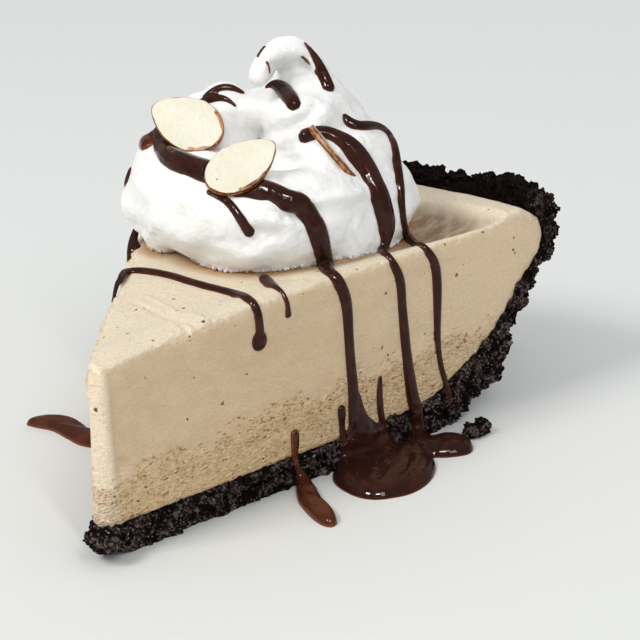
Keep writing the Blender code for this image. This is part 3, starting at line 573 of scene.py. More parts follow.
def worn_edges(points, normals):
    """How far each point stands out where an edge is ragged, crumbled or broken."""
    _, _, beyond = cut_frame(points, 1)
    rough = ramp(beyond, *FAR_EDGE) * ramp(points[:, 2], *FAR_EDGE_HEIGHTS)
    rough *= 1.0 - ramp(points[:, 0], *FAR_EDGE_ENDS)
    foot = (1.0 - ramp(points[:, 0], *POINT_FOOT)) * (1.0 - ramp(points[:, 2], *POINT_FOOT_HEIGHTS))
    foot *= FOOT_SHARE
    bumps = np.maximum(rough, foot) * np.maximum(0.0, waves_at(points, RAG_SIZE, 23)) * RAG_HEIGHT
    along, height, out = cut_frame(points)
    upright = between(height, *CUT_EDGE_HEIGHTS) * ramp(out, *UPRIGHT_BAND)
    for distance, rise, width in CUT_EDGE:
        bumps += rise * upright * np.exp(-((along - distance) / width) ** 2)
    edge = between(normals[:, 2], *BROKEN_EDGE_TURNS) * ramp(out, *EDGE_BAND)
    return bumps + BROKEN_EDGE * edge * layered(points, BROKEN_WAVES) * ramp(points[:, 2], *TOP_STARTS)


def mark_top(obj):
    points, normals = points_of(obj), normals_of(obj)
    facing_up = ramp(normals[:, 2], *FACES_UP)
    change = np.zeros(len(points))
    for path, width, height in CREASES:
        change += height * np.exp(-((distance_to_path(points, path) / width) ** 2))
    hollow, closeness = hollow_at(points)
    change -= HOLLOW_DEPTH * hollow * (0.35 + 0.65 * closeness)
    radius = np.linalg.norm(points[:, :2], axis=1)
    change += LIP_RISE * ramp(radius, *LIP_STARTS) * (1.0 - ramp(radius, *LIP_ENDS))
    change += layered(points, TOP_WAVES)
    points[:, 2] += change * facing_up
    move_points(obj, points + normals * worn_edges(points, normals)[:, None])
    # The share of the top, kept for the finish, which paints it paler: partly its melted film, partly painted
    # sheen.
    store(obj, "top", facing_up * ramp(points[:, 2], *TOP_STARTS))
    # The share of the hollow, kept for the finish to paint the cream's shadow there.
    store(obj, "hollow", facing_up * hollow * closeness)


mark_top(ice_cream)

# %% [markdown]
# Near the crust the ice cream is full of burst air bubbles: short, flat pits in rows along a line that
# rises to the right. Most are finer than a mesh point, so the finish makes them. The largest are real,
# shallow dents, each with a place, a length and a depth from one seeded generator.

# %% Pits on both cuts
PIT_COUNT = 110
PIT_EDGE = (  # along the cut, high
    (4.0, 17.6), (16.0, 16.4), (24.0, 14.9), (36.0, 15.4), (50.0, 16.4), (60.0, 18.0), (72.0, 20.4),
    (84.0, 20.4), (96.0, 19.6),
)
PIT_ROWS = (0.2, 1.3, 2.6, 4.1)  # how far under the edge each row of pits lies
ROW_SHARES = (0.34, 0.3, 0.22, 0.14)
PIT_DEPTHS = (0.15, 0.4)
PIT_SPAN = (4.0, 97.0)
PIT_STRAY = 0.45
SHORTEST_PIT, LONGER_BY = 0.4, 0.25
PITTED_BELOW = 26.0
BEHIND_CUT = -2.5
PIT_HEIGHT = 0.4


def pit_cut(obj):
    chance = np.random.default_rng(11)
    points, normals = points_of(obj), normals_of(obj)
    pitted = np.zeros(len(points))
    for side in (-1, 1):
        along, height, out = cut_frame(points, side)
        near_cut = np.flatnonzero((out > BEHIND_CUT) & (height < PITTED_BELOW))
        along, height = along[near_cut], height[near_cut]
        middles = chance.uniform(*PIT_SPAN, PIT_COUNT)
        edge = np.interp(middles, *np.array(PIT_EDGE).T)
        levels = edge - chance.choice(PIT_ROWS, PIT_COUNT, p=ROW_SHARES)
        levels += chance.normal(0.0, PIT_STRAY, PIT_COUNT)
        lengths = SHORTEST_PIT + chance.exponential(LONGER_BY, PIT_COUNT)
        depths = chance.uniform(*PIT_DEPTHS, PIT_COUNT)
        for middle, level, length, depth in zip(middles, levels, lengths, depths):
            dent = depth * np.exp(-((along - middle) / length) ** 2 - ((height - level) / PIT_HEIGHT) ** 2)
            pitted[near_cut] = np.maximum(pitted[near_cut], dent)
    move_points(obj, points - normals * pitted[:, None])


pit_cut(ice_cream)

# %% [markdown]
# ## The crumb crust
#
# The crust is crushed cookie pressed into the dish: large clumps, lumps and smaller crumbs on them, and
# loose grains over all. The body carries the lumps as relief. Here and there a lump climbs over the ice
# cream's edge. Where it lies against the ice cream it stays smooth, because nobody sees it there, and its
# underside stays flat, because it was pressed on the dish. At the point two knobs of crumbs stick out, and
# the rim has one high place.

# %% The body of the crust
CRUST_VOXEL = 0.6
CRUST_STANDS_PROUD = (1.3, 0.7)
CRUST_GAP = 0.25  # between the crust's inside and the ice cream
CRUMB_SIZE = 4.6
CRAG_SIZE = 9.0
MEAN_LUMP = 0.95
CRUMB_RELIEF = 1.7
CUT_RELIEF = 0.9
CLUMP_SIZE = 10.0
CLUMP_GAP = 1.5
LEAST_CRUST = 0.9
CLIMB_SIZE = 3.3
CLIMB = 1.8  # how far a lump climbs over the ice cream
RIM_BUMP = (104.5, -33.0, 9.0, 1.5)  # where the rim stands highest: place, reach and height
RIM_BUMP_HEIGHTS = (36.0, 40.0)
TIP_KNOBS = ((0.5, 0.4, 4.4, 2.1, 2.5, 1.8), (1.4, -2.0, 3.2, 2.4, 2.2, 2.1))  # place, and the three radii
GRAIN_ROOM = 0.35  # the loose grains lie on top of the body
SHOWS_FROM = (0.6, 1.8)  # how far from the ice cream the crust begins to show
POINT_REACH = 6.0
POINT_LEAN = 1.6
POINT_LIFT = 2.4


def offset_outline(outline, distance):
    """The outline moved to its left by distance."""
    points = np.array(outline, float)
    ahead = np.gradient(points, axis=0)
    ahead /= np.linalg.norm(ahead, axis=1)[:, None]
    return [tuple(point) for point in points + distance * np.stack([-ahead[:, 1], ahead[:, 0]], axis=1)]


def rough_crust():
    """The half section of the crust turned and cut, with the knobs at the point melted on."""
    inside = offset_outline(FILLING_SECTION, CRUST_GAP)[2:-1]
    top_inner = (inside[0][0] - 0.4, RIM_TOP - 1.6)
    section = [(0.0, BASE_TOP - CRUST_GAP), *reversed(inside), top_inner, *CRUST_OUTSIDE, (0.0, -FLOOR_TRIM)]
    obj = turned("crust_body", section)
    cut_to_wedge(obj, *CRUST_STANDS_PROUD)
    return melted_together("crust_body", [obj, *knobs_of(TIP_KNOBS)], CRUST_VOXEL)


def crumb_relief(points, normals):
    """Lumps, crags, the joints between clumps, and grains, as one height."""
    lumps = crumbs_at(points, CRUMB_SIZE, 2) + 0.5 * crumbs_at(points, CRUMB_SIZE * 0.55, 5)
    crags = 0.7 * waves_at(points, CRAG_SIZE, 3)
    clumps = np.minimum(1.0, 2.2 * crumbs_at(points * (1.0, 1.0, 0.45), CLUMP_SIZE, 17)) - 1.0
    grains = 0.34 * crumbs_at(points, 1.5, 31) + 0.12 * waves_at(points, 0.9, 32) - 0.2
    depth = CRUMB_RELIEF * np.where(np.abs(normals[:, 1]) > 0.7, CUT_RELIEF, 1.0)
    return depth * (lumps - MEAN_LUMP + crags) + CLUMP_GAP * clumps + grains - GRAIN_ROOM


def bend_rim_and_point(points, shows):
    """Raise the rim at its high place; lift the point's underside and let the point lean out."""
    x, y, reach, height = RIM_BUMP
    bump = np.exp(-((points[:, 0] - x) ** 2 + (points[:, 1] - y) ** 2) / reach ** 2)
    points[:, 2] += height * bump * ramp(points[:, 2], *RIM_BUMP_HEIGHTS) * shows
    near = np.exp(-((np.maximum(points[:, 0], 0.0) / POINT_REACH) ** 2))
    points[:, 2] += near * POINT_LIFT * (1.0 - ramp(points[:, 2], -FLOOR_TRIM, BASE_TOP))
    points[:, 0] -= near * POINT_LEAN * ramp(points[:, 2], 0.0, BASE_TOP)


def make_crust(filling):
    obj = rough_crust()
    tree = tree_of(filling)
    away = np.array([tree.find_nearest(Vector(point))[3] for point in points_of(obj)])
    shows = ramp(away, *SHOWS_FROM)
    relax(obj, 5, shows)
    points, normals = points_of(obj), normals_of(obj)
    raised = np.maximum(crumb_relief(points, normals), LEAST_CRUST - away)
    underside = ramp(-normals[:, 2], 0.7, 0.9) * (1.0 - ramp(points[:, 2], 0.0, 2.0))
    uneven = crumbs_at(points, CLIMB_SIZE, 12) - 0.3 + 0.35 * waves_at(points, 7.0, 13)
    climbing = CLIMB * np.maximum(uneven, -0.1) * (1.0 - shows) * ramp(away, 2.0, 0.6)
    points += normals * (shows * (1.0 - underside) * raised + climbing)[:, None]
    bend_rim_and_point(points, shows)
    move_points(obj, points)
    store(obj, "shows", np.maximum(shows, ramp(climbing, 0.0, 0.3)) * (1.0 - underside))
    trim_below(obj, 0.0)
    return obj


def shown(obj):
    """The share kept as shows, for each point."""
    flat = np.empty(len(obj.data.vertices), np.float32)
    obj.data.attributes["shows"].data.foreach_get("value", flat)
    return flat


def knifed(obj):
    """1 on the two cuts, 0 a few millimetres behind them."""
    beyond = np.maximum(*[cut_frame(points_of(obj), side)[2] for side in (-1, 1)])
    return ramp(beyond, -2.6, -0.4)


crust = make_crust(ice_cream)
print("crust body:", len(crust.data.polygons), "faces")

# %% [markdown]
# ## Node trees for what repeats
#
# Thousands of loose grains can't be placed by hand. A Geometry Nodes tree scatters them over whatever
# surface it is given: it puts points on the faces, a small lump on each point, turned and sized at random,
# and then pushes the lumps' corners about, so that no two are alike. The tree has named inputs, and one
# short function adds a node, so a tree reads from top to bottom.

# %% Building node trees
def put(tree, kind, inputs=None, **settings):
    """Add a node. Each of inputs is a plain value, or the socket that feeds it."""
    node = tree.nodes.new(kind)
    for name, value in settings.items():
        setattr(node, name, value)
    for name, value in (inputs or {}).items():
        if isinstance(value, bpy.types.NodeSocket):
            tree.links.new(value, node.inputs[name])
        else:
            node.inputs[name].default_value = value
    return node


def new_tree(name, kind, inputs, outputs):
    """An empty group with named inputs, (name, type, value), and outputs, (name, type)."""
    tree = bpy.data.node_groups.new(name, kind)
    for label, socket, value in inputs:
        made = tree.interface.new_socket(label, in_out="INPUT", socket_type="NodeSocket" + socket)
        if value is not None:
            made.default_value = value
    for label, socket in outputs:
        tree.interface.new_socket(label, in_out="OUTPUT", socket_type="NodeSocket" + socket)
    return tree, put(tree, "NodeGroupInput").outputs


def run_tree(obj, tree, values):
    """Put the piece through a tree and keep the plain mesh that comes out."""
    modifier = obj.modifiers.new(tree.name, "NODES")
    modifier.node_group = tree
    for item in tree.interface.items_tree:
        if item.in_out == "INPUT" and item.name in values:
            modifier[item.identifier] = values[item.name]
    apply_modifiers(obj)


def make_grain_tree():
    tree, given = new_tree("loose_grains", "GeometryNodeTree", (
        ("Surface", "Geometry", None), ("Grains per square metre", "Float", 700000.0),
        ("Smallest", "Float", 0.0003), ("Largest", "Float", 0.0007), ("Raggedness", "Float", 0.0003),
        ("Seed", "Int", 1), ("Material", "Material", None)), (("Grains", "Geometry"),))
    shows = put(tree, "GeometryNodeInputNamedAttribute", {"Name": "shows"})
    is_seen = put(tree, "FunctionNodeCompare", {0: shows.outputs["Attribute"], 1: 0.5},
                  operation="GREATER_THAN")
    spread = put(tree, "GeometryNodeDistributePointsOnFaces", {
        "Mesh": given["Surface"], "Selection": is_seen.outputs["Result"],
        "Density": given["Grains per square metre"], "Seed": given["Seed"]})
    lump = put(tree, "GeometryNodeMeshIcoSphere", {"Radius": 1.0, "Subdivisions": 1})
    turn = put(tree, "FunctionNodeRandomValue", {
        0: (0.0, 0.0, 0.0), 1: (6.283, 6.283, 6.283), "Seed": given["Seed"]}, data_type="FLOAT_VECTOR")
    small = put(tree, "ShaderNodeCombineXYZ", {i: given["Smallest"] for i in range(3)})
    large = put(tree, "ShaderNodeCombineXYZ", {i: given["Largest"] for i in range(3)})
    size = put(tree, "FunctionNodeRandomValue", {
        0: small.outputs[0], 1: large.outputs[0], "Seed": given["Seed"]}, data_type="FLOAT_VECTOR")
    lumps = put(tree, "GeometryNodeInstanceOnPoints", {
        "Points": spread.outputs["Points"], "Instance": lump.outputs["Mesh"],
        "Rotation": turn.outputs["Value"], "Scale": size.outputs["Value"]})
    real = put(tree, "GeometryNodeRealizeInstances", {"Geometry": lumps.outputs["Instances"]})
    chip = put(tree, "ShaderNodeTexNoise", {"Scale": 1900.0, "Detail": 0.0})
    centred = put(tree, "ShaderNodeVectorMath", {0: chip.outputs["Color"], 1: (0.5, 0.5, 0.5)},
                  operation="SUBTRACT")
    push = put(tree, "ShaderNodeVectorMath", {
        0: centred.outputs[0], "Scale": given["Raggedness"]}, operation="SCALE")
    ragged = put(tree, "GeometryNodeSetPosition", {
        "Geometry": real.outputs["Geometry"], "Offset": push.outputs[0]})
    done = put(tree, "GeometryNodeSetMaterial", {
        "Geometry": ragged.outputs["Geometry"], "Material": given["Material"]})
    put(tree, "NodeGroupOutput", {"Grains": done.outputs["Geometry"]})
    return tree


grain_tree = make_grain_tree()


def scatter(name, surface, where, per_mm2, sizes, ragged, seed):
    """Grains over a copy of a surface, where the given share is over a half, as a piece of their own."""
    obj = new_piece(name, surface.data.copy())
    for old in list(obj.data.attributes):
        if old.name == "shows":
            obj.data.attributes.remove(old)
    store(obj, "shows", where)
    run_tree(obj, grain_tree, {
        "Grains per square metre": per_mm2 / MM ** 2, "Smallest": sizes[0] * MM, "Largest": sizes[1] * MM,
        "Raggedness": ragged * MM, "Seed": seed})
    points = points_of(obj)
    points[:, 2] = np.maximum(points[:, 2], 0.0)
    move_points(obj, points)
    obj.data.name = name
    print(name, len(obj.data.polygons), "faces")
    return obj


# %% [markdown]
# ## Runs along a path
#
# Cream is piped and sauce is poured: both are thick lines. The second tree turns a chain of points into a
# round run as thick as each point says. Many chains go through it at once, and the remesh afterwards melts
# them into one mass, which is how poured sauce joins too.

# %% A tree for poured and piped lines
def make_run_tree():
    tree, given = new_tree("poured_runs", "GeometryNodeTree", (
        ("Chains", "Geometry", None), ("Sides", "Int", 12), ("Material", "Material", None)),
        (("Runs", "Geometry"),))
    path = put(tree, "GeometryNodeMeshToCurve", {"Mesh": given["Chains"]})
    ring = put(tree, "GeometryNodeCurvePrimitiveCircle", {"Resolution": given["Sides"], "Radius": 1.0})
    thick = put(tree, "GeometryNodeInputNamedAttribute", {"Name": "thickness"})
    run = put(tree, "GeometryNodeCurveToMesh", {
        "Curve": path.outputs["Curve"], "Profile Curve": ring.outputs["Curve"],
        "Scale": thick.outputs["Attribute"], "Fill Caps": True})
    real = put(tree, "GeometryNodeRealizeInstances", {"Geometry": run.outputs["Mesh"]})
    done = put(tree, "GeometryNodeSetMaterial", {
        "Geometry": real.outputs["Geometry"], "Material": given["Material"]})
    put(tree, "NodeGroupOutput", {"Runs": done.outputs["Geometry"]})
    return tree


run_tree_nodes = make_run_tree()


def smooth_course(stations, spacing):
    """Points about spacing apart on a smooth curve through the stations; every column is carried along."""
    rows = np.array(stations, float)
    if len(rows) == 2:
        rows = np.array([rows[0], (rows[0] + rows[1]) / 2, rows[1]])
    padded = np.vstack([2 * rows[0] - rows[1], rows, 2 * rows[-1] - rows[-2]])
    found = [rows[0]]
    for p0, p1, p2, p3 in zip(padded, padded[1:], padded[2:], padded[3:]):
        steps = max(1, int(round(np.linalg.norm((p2 - p1)[:3]) / spacing)))
        for t in np.linspace(0.0, 1.0, steps + 1)[1:]:
            found.append(0.5 * (2 * p1 + (p2 - p0) * t + (2 * p0 - 5 * p1 + 4 * p2 - p3) * t * t
                                + (3 * p1 - p0 - 3 * p2 + p3) * t ** 3))
    return np.array(found)


def poured(name, chains, sides=12):
    """One object of round-ended runs; each chain has rows of x, y, z and radius."""
    points, edges, thickness = [], [], []
    for rows in chains:
        first, last = rows[0].copy(), rows[-1].copy()
        for end, beside in ((first, rows[1]), (last, rows[-2])):
            away = end[:3] - beside[:3]
            end[:3] += away / np.linalg.norm(away) * end[3] * 0.6
            end[3] *= 0.5
        whole = np.vstack([first, rows, last])
        edges += [(len(points) + i, len(points) + i + 1) for i in range(len(whole) - 1)]
        points += whole[:, :3].tolist()
        thickness += (whole[:, 3] * MM).tolist()
    obj = piece_from(name, points, edges)
    store(obj, "thickness", thickness)
    run_tree(obj, run_tree_nodes, {"Sides": sides})
    return obj


# %% [markdown]
# ## The whipped cream
#
# A spoon laid the cream down in one thick coil, drew it up to a cone and let the tip curl over. So it is a
# coil and a cone of thick runs, with a few lobes where the mass bulges. All of it is melted together and
# relaxed, the curl least, because it still stands up. Its folds lie flat, so the noise for them is squeezed
# upwards.

# %% The coil, the cone and the curl
CREAM_AXIS = (73.0, 0.0)
SERVED_TURN = math.radians(-62.84)
EYE = (6.0, 411.0, 137.0)
LOWEST_ON_SLICE = -36.0
CREAM_VOXEL = 0.8
CREAM_PASSES = 11
CURL_FIRMNESS = 0.7
CURL_HEIGHTS = (22.0, 30.0)
CREAM_COIL = (  # bearing, distance from the axis, height, radius
    (118, 16.5, 5.6, 7.2), (92, 17.9, 5.8, 7.6), (66, 15.0, 6.6, 7.8), (40, 13.4, 7.0, 8.4),
    (12, 16.6, 6.8, 9.0), (-18, 19.6, 7.2, 9.5), (-48, 20.2, 8.8, 9.8), (-76, 20.6, 9.4, 9.4),
    (-104, 19.0, 12.0, 9.0), (-134, 15.5, 14.0, 8.4), (-164, 13.0, 13.5, 8.0), (-200, 13.0, 12.5, 8.0),
    (-238, 14.5, 11.8, 7.8), (-268, 15.0, 12.0, 7.2), (-294, 13.0, 13.2, 6.4), (-324, 10.0, 14.4, 5.6),
)
CREAM_CURL = (  # right, near, high, radius
    (6.2, -3.4, 12.0, 11.5), (6.0, -4.0, 18.0, 10.0), (4.5, -4.6, 23.4, 8.2), (3.7, -4.8, 27.4, 6.1),
    (3.3, -4.4, 30.6, 4.8), (1.9, -3.2, 32.9, 3.5), (-0.4, -1.4, 33.3, 2.8), (-2.6, 1.0, 31.9, 2.3),
    (-3.8, 2.6, 30.0, 2.1), (-3.7, 3.2, 29.2, 2.1),
)
CREAM_SCOOP = (  # the arch of the curl as it is seen: right, high
    (-1.8, 30.6), (-1.7, 32.1), (-1.3, 32.5), (0.5, 32.9), (2.3, 33.2), (4.1, 33.1), (5.2, 32.6), (6.1, 31.2),
    (6.9, 29.0),
)
FOLDS = ((0.9, 11.0, 4, (1.0, 1.0, 2.2)), (0.34, 5.0, 6, 1.0))
SMALL_FOLDS = ((0.11, 2.4, 41, (1.0, 1.0, 1.6)), (0.06, 1.1, 42, 1.0))
SCOOP_DEPTH = 2.6
SCOOP_EDGE = 0.9
SCOOP_HEIGHTS = (25.5, 31.0)
SCOOP_FARTHEST = -4.5
CREAM_LOBES = (  # right, near, high, and the three radii
    (0.0, -1.0, 3.0, 25.0, 23.0, 11.0),
    (-24.6, 4.0, 6.6, 6.2, 8.0, 6.2),
    (21.0, -3.0, 3.6, 5.0, 9.0, 4.8),
    (17.0, -6.0, 12.6, 4.8, 5.0, 5.0),
    (-10.6, -4.0, 22.4, 5.4, 5.2, 5.4),
    (-4.4, -3.0, 22.2, 4.6, 4.8, 4.4),
    (-22.0, 8.2, 2.0, 4.4, 5.6, 3.6),
    (-27.6, 4.5, 6.4, 2.4, 2.4, 1.6),
    (3.6, 3.0, 21.0, 7.0, 5.4, 6.0),
    (-14.0, -4.0, 17.0, 9.0, 9.0, 8.5),
    (-10.5, 8.5, 10.5, 10.0, 9.0, 7.0),
)


def cream_point(a, b, h):
    """A point by how far right (a), near (b) and high (h) it is from the middle of the cream's foot."""
    right = Vector((math.cos(SERVED_TURN), math.sin(SERVED_TURN), 0.0))
    near = Vector((math.sin(SERVED_TURN), -math.cos(SERVED_TURN), 0.0))
    return Vector((*CREAM_AXIS, FILLING_TOP + h)) + right * a + near * b


def seen_from_eye(points):
    """How far right and high each point looks in the plane through the cream's axis, and how near it is."""
    foot = np.array(cream_point(0, 0, 0))
    axes = np.array([cream_point(*way) for way in np.eye(3)]) - foot
    right, near, high = ((points - foot) @ axes.T).T
    grow = EYE[1] / (EYE[1] - near)
    return EYE[0] + (right - EYE[0]) * grow, EYE[2] + (high - EYE[2]) * grow, near


def scoop_curl(obj):
    """Press the hollow in under the arch of the curl: deepest at the arch, and fading out downwards."""
    points = points_of(obj)
    right, high, near = seen_from_eye(points)
    arch = np.interp(right, *np.array(CREAM_SCOOP).T, left=0.0, right=0.0)
    share = ramp(arch - high, 0.0, SCOOP_EDGE) * ramp(high, *SCOOP_HEIGHTS) * (near > SCOOP_FARTHEST)
    sight = points - np.array(cream_point(*EYE))
    sight /= np.linalg.norm(sight, axis=1)[:, None]
    move_points(obj, points + sight * (SCOOP_DEPTH * share)[:, None])


def firmness(points):
    """How well each point keeps its shape: the curl does, the rest gives way."""
    return CURL_FIRMNESS * ramp(points[:, 2] - FILLING_TOP, *CURL_HEIGHTS)


def make_cream():
    coil = []
    for bearing, distance, height, radius in CREAM_COIL:
        turn = math.radians(bearing)
        coil.append((*cream_point(distance * math.sin(turn), distance * math.cos(turn), height), radius))
    curl = [(*cream_point(a, b, h), radius) for a, b, h, radius in CREAM_CURL]
    turn = Matrix.Rotation(SERVED_TURN, 4, "Z")
    parts = [poured("cream_runs", [smooth_course(coil, 2.0), smooth_course(curl, 1.0)], 28)]
    parts += [lobe("cream_lobe", cream_point(a, b, h), radii, turn) for a, b, h, *radii in CREAM_LOBES]
    obj = melted_together("cream_swirl", parts, CREAM_VOXEL)
    relax(obj, CREAM_PASSES, 1.0 - firmness(points_of(obj)))
    scoop_curl(obj)
    refine(obj)
    points, normals = points_of(obj), normals_of(obj)
    folds = layered(points, FOLDS) * (1.0 - firmness(points)) + layered(points, SMALL_FOLDS)
    move_points(obj, points + normals * folds[:, None])
    return obj


cream = make_cream()
print("cream:", len(cream.data.polygons), "faces")

# %% [markdown]
# A spoon leaves ledges and folds with quite sharp edges. Each mark is a line as the viewer sees it, with a
# width and a height: the line is thrown on to the cream, and points near it are raised or lowered, less so
# at its ends.

# %% Folds that the spoon left
CREAM_MARKS = (  # line as it is seen, width, height
    (((-4.6, 32.9), (-3.4, 32.7), (-2.6, 32.0), (-2.1, 30.8)), 0.55, -0.5),
    (((-2.6, 4.6), (2.4, 4.4), (6.3, 4.5), (11.2, 5.2), (15.8, 6.2)), 1.1, 0.85),
    (((-2.1, 2.1), (2.3, 1.9), (6.3, 2.0), (11.1, 2.5), (15.5, 3.2)), 1.5, -0.45),
    (((-1.4, 13.5), (2.3, 14.3), (6.3, 14.5)), 1.0, 0.5),
    (((-6.2, 18.2), (-1.8, 18.4), (2.1, 19.6), (5.6, 21.8), (7.5, 24.8)), 1.3, -0.6),
    (((-9.9, 21.4), (-8.3, 18.7), (-6.6, 18.2)), 1.0, -0.5),
    (((-12.5, 21.1), (-10.0, 19.7), (-8.4, 16.9)), 1.2, 0.4),
    (((14.4, 1.4), (13.2, -1.3), (13.6, -3.2), (14.8, -5.1)), 0.6, 0.55),
    (((13.0, 1.0), (12.1, -1.3), (12.5, -3.6)), 0.7, -0.4),
    (((-20.7, 6.5), (-17.6, 7.5), (-14.2, 5.3)), 1.3, -0.35),
    (((-14.6, -2.5), (-11.1, -3.1), (-7.6, -4.0), (-4.0, -3.0)), 1.2, -0.4),
    (((-24.8, 3.4), (-25.4, 0.7), (-26.9, -2.1)), 1.0, 0.35),
    (((-27.9, 6.3), (-28.8, 3.1), (-27.7, -0.6)), 1.0, -0.35),
    (((-1.3, 10.7), (-0.0, 9.3), (2.1, 8.8)), 1.1, -0.6),
    (((17.1, 14.6), (19.3, 12.7), (20.1, 10.4)), 0.9, 0.4),
    (((-4.7, 1.7), (-0.4, 0.8), (2.7, -0.4)), 1.0, 0.3),
    (((-19.6, 5.4), (-20.6, 2.2), (-20.2, -0.4)), 1.3, -0.4),
    (((-7.6, 0.2), (-3.4, -1.6), (1.4, -2.2)), 1.5, -0.5),
    (((-8.4, 1.8), (-4.0, 0.6), (0.4, -0.2)), 1.4, 0.4),
)
MARK_STRENGTH = 1.25
MARK_FADE = 3.0


def seen_on(tree, a, h):
    """Where the sight line through (a, h) first meets the slice, or else the floor, and the way it faces."""
    eye = cream_point(*EYE)
    sight = (cream_point(a, 0.0, h) - eye).normalized()
    place, normal, _, _ = tree.ray_cast(eye, sight)
    if place is None and h < LOWEST_ON_SLICE:
        place, normal = eye - sight * (eye.z / sight.z), UP
    elif place is None:
        place, normal, _, _ = tree.find_nearest(cream_point(a, 0.0, h))
    return place, normal


def mark_cream(obj):
    tree = tree_of(obj)
    points, normals = points_of(obj), normals_of(obj)
    for stations, width, height in CREAM_MARKS:
        course = np.array([seen_on(tree, a, h)[0] for a, h in smooth_course(stations, 0.6)])
        low, high = course.min(0) - 4 * width, course.max(0) + 4 * width
        near = np.flatnonzero(np.all((points > low) & (points < high), 1))
        away = np.linalg.norm(points[near, None] - course[None], axis=2).min(axis=1)
        ends = np.minimum(*[np.linalg.norm(points[near] - course[end], axis=1) for end in (0, -1)])
        fade = MARK_STRENGTH * (0.35 + 0.65 * ramp(ends, 0.0, MARK_FADE))
        points[near] += normals[near] * (height * fade * np.exp(-((away / width) ** 2)))[:, None]
    move_points(obj, points)


mark_cream(cream)

# %% [markdown]
# The cream's foot is a thin, ragged lip that clings to the ice cream. Points near the foot are drawn
# outwards by an uneven amount, and the piece is cut off just under the surface that it lies on. Small
# grains of cream stand on the lip like teeth. Beside the foot the ice cream gets a painted warm brown
# shade, a painted shadow of the cream, so how near the cream is gets kept for the finish.

# %% The ragged foot of the cream
FOOT_REACH = 6.0
LIP_OUT, LIP_THICKNESS = 1.35, 0.75
SKIRT_OUT, SKIRT_HEIGHT = 0.9, 2.6
CUT_UNDER = 1.5
UPRIGHT = (1.0, 1.0, 0.2)
RAGGED_LIP = ((0.5, 1.7, 43, UPRIGHT), (0.35, 5.0, 44, UPRIGHT), (0.45, 0.9, 45, UPRIGHT))
MEAN_LIP = 0.45
TEETH_LEVELS = (0.25, 0.7)
# The painted warm shade beside the cream's foot: gone at the first distance, full at the second.
PAINTED_SHADE_FROM, PAINTED_SHADE_AT = 3.2, 0.6
LOWEST_NEAR_CREAM = 30.0
FAR_FROM_CREAM = 9.0


def level_on(tree, points):
    """How high each low point is over the surface that the cream lies on."""
    level = points[:, 2] - FILLING_TOP
    for i in np.flatnonzero(level < FOOT_REACH):
        below = tree.ray_cast(Vector((points[i, 0], points[i, 1], 2 * SLICE_LENGTH)), -UP)[0]
        if below is not None:
            level[i] = points[i, 2] - below.z
    return level


def draw_out_foot(obj, tree):
    points, normals = points_of(obj), normals_of(obj)
    level = level_on(tree, points)
    outward = normals * (1.0, 1.0, 0.0)
    uneven = layered(points, RAGGED_LIP, MEAN_LIP)
    lip = LIP_OUT * np.exp(-(np.maximum(level + 0.1, 0.0) / LIP_THICKNESS) ** 2)
    skirt = SKIRT_OUT * np.exp(-(np.maximum(level, 0.0) / SKIRT_HEIGHT) ** 2)
    move_points(obj, points + outward * (lip * uneven + skirt)[:, None])
    trim_below(obj, FILLING_TOP - CUT_UNDER)


ice_cream_tree = tree_of(ice_cream)
draw_out_foot(cream, ice_cream_tree)
cream_level = level_on(ice_cream_tree, points_of(cream))
on_lip = (cream_level > TEETH_LEVELS[0]) & (cream_level < TEETH_LEVELS[1])
cream_teeth = scatter("cream_teeth", cream, on_lip, per_mm2=3.4, sizes=(0.18, 0.52), ragged=0.4, seed=7)
cream_tree = tree_of(cream)
# How near the cream each point of the ice cream is, for the painted warm shade by the cream's foot.
near_cream = [cream_tree.find_nearest(Vector(point))[3] if point[2] > LOWEST_NEAR_CREAM else FAR_FROM_CREAM
              for point in points_of(ice_cream)]
store(ice_cream, "near_cream", ramp(near_cream, PAINTED_SHADE_FROM, PAINTED_SHADE_AT))

# %% [markdown]
# ## The chocolate sauce
#
# Each stream is given the way it is seen: how far right and how high from the cream's foot, and how thick.
# A line of sight through each station meets the cream, the ice cream, the crust or the floor, so one stream
# runs over all of them without a gap, as it did when it was poured. One stream begins out of sight on the
# rounding of the far edge, and one runs down the hidden side, so these two have stations laid straight on
# the slice as well.

